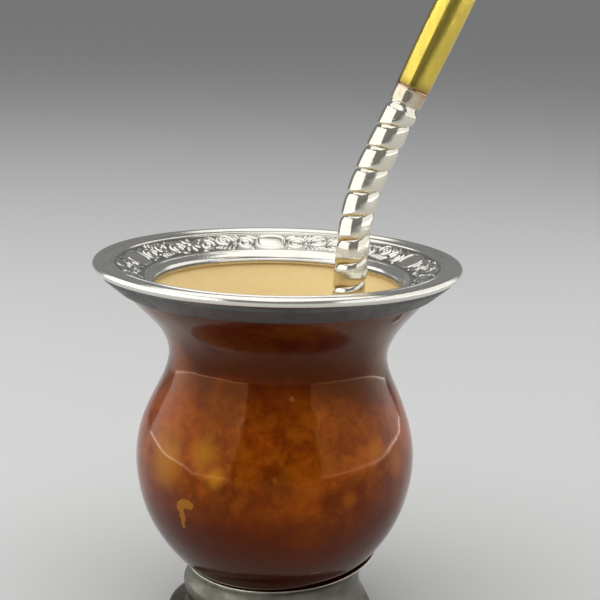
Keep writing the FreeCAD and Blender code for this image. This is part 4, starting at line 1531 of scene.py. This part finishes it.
@dataclass
class Straw:
    """The drinking straw: wound stem, ferrule, brass mouthpiece and slotted strainer. In millimetres."""

    line: StrawLine = field(default_factory=StrawLine)
    pitch: float = 5.82
    phase: float = 1.6
    sleeve_low: float = -22.0
    ferrule_start: float = 63.7
    ferrule_length: float = 4.2
    tip_end: float = 128.7
    mouthpiece_length: float = 60.0
    ferrule_radius: float = 3.95
    ferrule_bore: float = 3.65
    stem_radius: float = 4.1
    step: float = 0.8
    bore: float = 2.7
    run_out: float = 1.2
    joint: float = 0.01
    spare_turns: float = 2.0
    tube_wall: float = 0.5
    solder_azimuth: float = math.radians(322.0)
    columns: int = 96

    def build_stem(self) -> Object:
        """Winds the stem.

        Returns:
            The piece.
        """
        start = self.phase + self.pitch * math.floor((self.sleeve_low - self.pitch - self.phase) / self.pitch)
        turns = math.ceil((self.ferrule_start + self.run_out - start) / self.pitch)
        reach = self.pitch * self.spare_turns
        low = start - reach
        high = start + self.pitch * turns + reach
        values = {
            "Line Start": low * MM, "Start": start * MM, "Pitch": self.pitch * MM,
            "Outer Radius": self.stem_radius * MM, "Step": self.step * MM, "Bore Radius": self.bore * MM,
            "Sleeve Low": self.sleeve_low * MM, "Sleeve High": self.ferrule_start * MM,
            "Run Out": self.run_out * MM, "Turns": turns,
        }
        piece = WoundStem().wind("wound_stem", self.line.curve(low, high), STEM_FINISH.material(), values)
        settle(piece, "stem_metal", "straw_stem")
        return piece

    def tube(self, name: str, section: Sequence[tuple[float, float]], finish: MetalFinish,
             shape: Callable[[float, float, float], tuple[float, float]]) -> Object:
        """Turned tube along the straw's upper line.

        Args:
            name: the piece's name.
            section: loop of points as distance along the line and share of the way from the bore to the skin.
            finish: the tube's metal.
            shape: gives the radius and the dirt from the distance, the share and the angle round the line.

        Returns:
            The piece.
        """
        rings = np.zeros((len(section), self.columns, 3))
        dirt = np.zeros((len(section), self.columns))
        for row, (distance, share) in enumerate(section):
            for column, azimuth in enumerate(azimuths(self.columns)):
                radius, dirt[row, column] = shape(distance, share, azimuth)
                place = self.line.centre(distance) + self.line.side(distance, azimuth) * radius
                rings[row, column] = tuple(place * MM)
        return new_piece(name, rings, Ends.LOOPED, finish.material(), {"dirt": dirt})

    def build_ferrule(self) -> Object:
        """Makes the sleeve with its solder.

        Returns:
            The piece.
        """
        low = self.ferrule_start + self.joint
        high = self.ferrule_start + self.ferrule_length - self.joint
        wall = self.ferrule_radius - self.ferrule_bore
        bevel, edge = 1.0 - 0.12 / wall, 1.0 - 0.02 / wall
        section = [(low, bevel), (low + 0.1, edge)]
        section += [(distance, 1.0) for distance in np.linspace(low + 0.3, high - 0.3, 22)]
        section += [(high - 0.1, edge), (high, bevel), (high, 0.0), (low, 0.0)]

        def shape(distance: float, share: float, azimuth: float) -> tuple[float, float]:
            """Radius with the solder's swelling, and the stain round the upper edge and at the solder.

            Args:
                distance: how far along the line.
                share: share of the way from the bore, 0, to the skin, 1.
                azimuth: the angle round the line.

            Returns:
                The radius and the dirt.
            """
            stain_and_shade = math.exp(-((distance - high) / 0.7) ** 2)
            stain_and_shade += 0.5 * math.exp(-((azimuth - self.solder_azimuth) / 0.6) ** 2)
            radius = self.ferrule_bore + wall * share
            if share > 0.0:
                place = self.line.centre(distance) + self.line.side(distance, azimuth) * radius
                side = math.exp(-((azimuth - self.solder_azimuth) / 0.5) ** 2)
                radius += 0.28 * side * math.exp(-((distance - high + 0.9) / 1.5) ** 2)
                radius += 0.08 * math.exp(-((distance - high + 0.5) / 0.35) ** 2)
                radius += 0.035 * lumps(place * 0.7, 1.0, 4.0)
            return radius, min(stain_and_shade, 1.0)

        piece = self.tube("ferrule_sleeve", section, FERRULE_FINISH, shape)
        settle(piece, "stem_metal", "straw_ferrule")
        return piece

    def build_mouthpiece(self) -> Object:
        """Makes the brass tube.

        Returns:
            The piece.
        """
        low = self.ferrule_start + self.ferrule_length + 2.0 * self.joint
        high = self.tip_end - 2.0 * self.joint
        surface = NodeSurface("straw_mouthpiece")
        bottom = self.tip_end - self.mouthpiece_length + 0.1
        section = [(low, 0.8), (low + 0.12, 0.97)]
        section += [(distance, 1.0) for distance in np.linspace(low + 0.4, high - 0.5, 110)]
        section += [(high - 0.2, 0.98), (high, 0.7), (high, 0.3), (high - 0.2, 0.02)]
        section += [(distance, 0.0) for distance in np.linspace(high - 0.5, low + 0.4, 60)]
        section += [(low, 0.2)]

        def shape(distance: float, share: float, azimuth: float) -> tuple[float, float]:
            """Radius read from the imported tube, with small dents, and grime near the lower edge.

            Args:
                distance: how far along the line.
                share: share of the way from the bore, 0, to the skin, 1.
                azimuth: the angle round the line.

            Returns:
                The radius and the dirt.
            """
            origin = self.line.centre(max(distance, bottom)) * MM
            found = surface.outer(origin, self.line.side(distance, azimuth), 0.02)
            radius = (found - origin).length / MM - self.tube_wall * (1.0 - share)
            if share > 0.5:
                radius += min(0.03 * lumps(found / MM, 4.0, 9.0), 0.0)
            return radius, 0.8 * math.exp(-((distance - low) / 1.4) ** 2)

        piece = self.tube("brass_mouthpiece", section, BRASS_FINISH, shape)
        settle(piece, "mouthpiece_brass", "straw_mouthpiece")
        return piece

    def build(self) -> None:
        """Makes the stem, ferrule and mouthpiece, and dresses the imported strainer."""
        self.build_stem()
        self.build_ferrule()
        self.build_mouthpiece()
        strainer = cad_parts["strainer"]
        strainer.data.materials.clear()
        strainer.data.materials.append(STEM_FINISH.material())
        log.info("strainer: packed node with its own finish")


@dataclass(frozen=True)
class Lamp:
    """A soft rectangular lamp, unseen by the camera. A strip shows in reflections only."""

    name: str
    place: Triple
    aim: Triple
    size: tuple[float, float]
    radiance: float
    strip: bool = False

    def build(self) -> None:
        """Adds the lamp. Its face is as bright as white at a radiance of 1."""
        data = bpy.data.lights.new(self.name, "AREA")
        data.shape = "RECTANGLE"
        data.size, data.size_y = self.size
        data.energy = self.radiance * math.pi * self.size[0] * self.size[1]
        lamp = new_object(self.name, data)
        lamp.location = self.place
        lamp.rotation_euler = (Vector(self.aim) - Vector(self.place)).to_track_quat("-Z", "Y").to_euler()
        lamp.visible_camera = False
        lamp.visible_diffuse = not self.strip


LAMPS = (
    Lamp("lamp_left", (-0.46, -0.10, 0.21), (0.0, 0.0, 0.21), (1.0, 0.40), 1.3),
    Lamp("lamp_right", (0.47, -0.03, 0.21), (0.0, 0.0, 0.21), (1.15, 0.40), 0.9),
    Lamp("edge_left_low", (-0.455, -0.10, 0.015), (0.0, 0.0, 0.015), (1.0, 0.012), 4.0, True),
    Lamp("edge_right_low", (0.465, -0.03, 0.015), (0.0, 0.0, 0.015), (1.15, 0.012), 3.0, True),
    Lamp("edge_left_high", (-0.455, -0.10, 0.405), (0.0, 0.0, 0.405), (1.0, 0.012), 4.0, True),
    Lamp("edge_right_high", (0.465, -0.03, 0.405), (0.0, 0.0, 0.405), (1.15, 0.012), 3.0, True),
    Lamp("lamp_top", (-0.10, -0.10, 1.0), (0.0, 0.0, 0.05), (1.6, 1.5), 1.15),
)


@dataclass
class Studio:
    """Pale floor, soft lamps and the camera at the photograph's angle."""

    floor_size: float = 40.0
    world_strength: float = 0.26
    world_tone: Triple = (0.93, 0.94, 0.96)
    camera_place: Triple = (0.00566, -0.350, 0.15947)
    pitch: float = 12.65
    roll: float = 1.464
    focal_length: float = 87.53
    sensor: float = 36.0
    finish: FloorFinish = FloorFinish()

    def build_floor(self) -> None:
        """Lays the floor under the cup."""
        half = 0.5 * self.floor_size
        corners = [(-half, -half, 0.0), (half, -half, 0.0), (half, half, 0.0), (-half, half, 0.0)]
        mesh = bpy.data.meshes.new("floor")
        mesh.from_pydata(corners, [], [(0, 1, 2, 3)])
        mesh.materials.append(self.finish.material())
        floor = new_object("floor", mesh)

    def build_world(self) -> None:
        """Sets a plain pale sky."""
        world = bpy.data.worlds.new("plain_sky")
        bpy.context.scene.world = world
        world.use_nodes = True
        sky = world.node_tree.nodes["Background"]
        sky.inputs["Color"].default_value = colour(*self.world_tone)
        sky.inputs["Strength"].default_value = self.world_strength

    def build_camera(self) -> None:
        """Sets the camera at the photograph's angle."""
        data = bpy.data.cameras.new("camera")
        data.sensor_width = self.sensor
        data.lens = self.focal_length
        data.clip_start = 0.01
        camera = new_object("camera", data)
        tilt = math.radians(90.0 - self.pitch)
        turn = Matrix.Rotation(tilt, 4, "X") @ Matrix.Rotation(math.radians(self.roll), 4, "Z")
        camera.matrix_world = Matrix.Translation(self.camera_place) @ turn
        bpy.context.scene.camera = camera

    def build(self) -> None:
        """Sets the whole stage."""
        bpy.context.scene.view_settings.view_transform = "Standard"
        self.build_floor()
        self.build_world()
        for lamp in LAMPS:
            lamp.build()
        self.build_camera()


def main() -> None:
    """Builds the cup, its straw and the stage."""
    logging.basicConfig(level=logging.INFO, format="%(name)s %(message)s")
    Studio().build()
    Gourd().build(GOURD_SPOTS)
    RimPlate().build()
    skirt = SheetRing("rim_skirt", "skirt_metal", SKIRT_FINISH, low=84.1 * MM, high=89.6 * MM, rows=26)
    skirt.build("skirt_sheet")
    collar = SheetRing(
        "base_ring", "base_metal", BASE_FINISH, columns=420, rows=44, lip_rise=0.22 * MM, pull=1.9 * MM,
        drift=1.9 * MM)
    collar.build("base_collar")
    Straw().build()


if __name__ == "__main__":
    main()
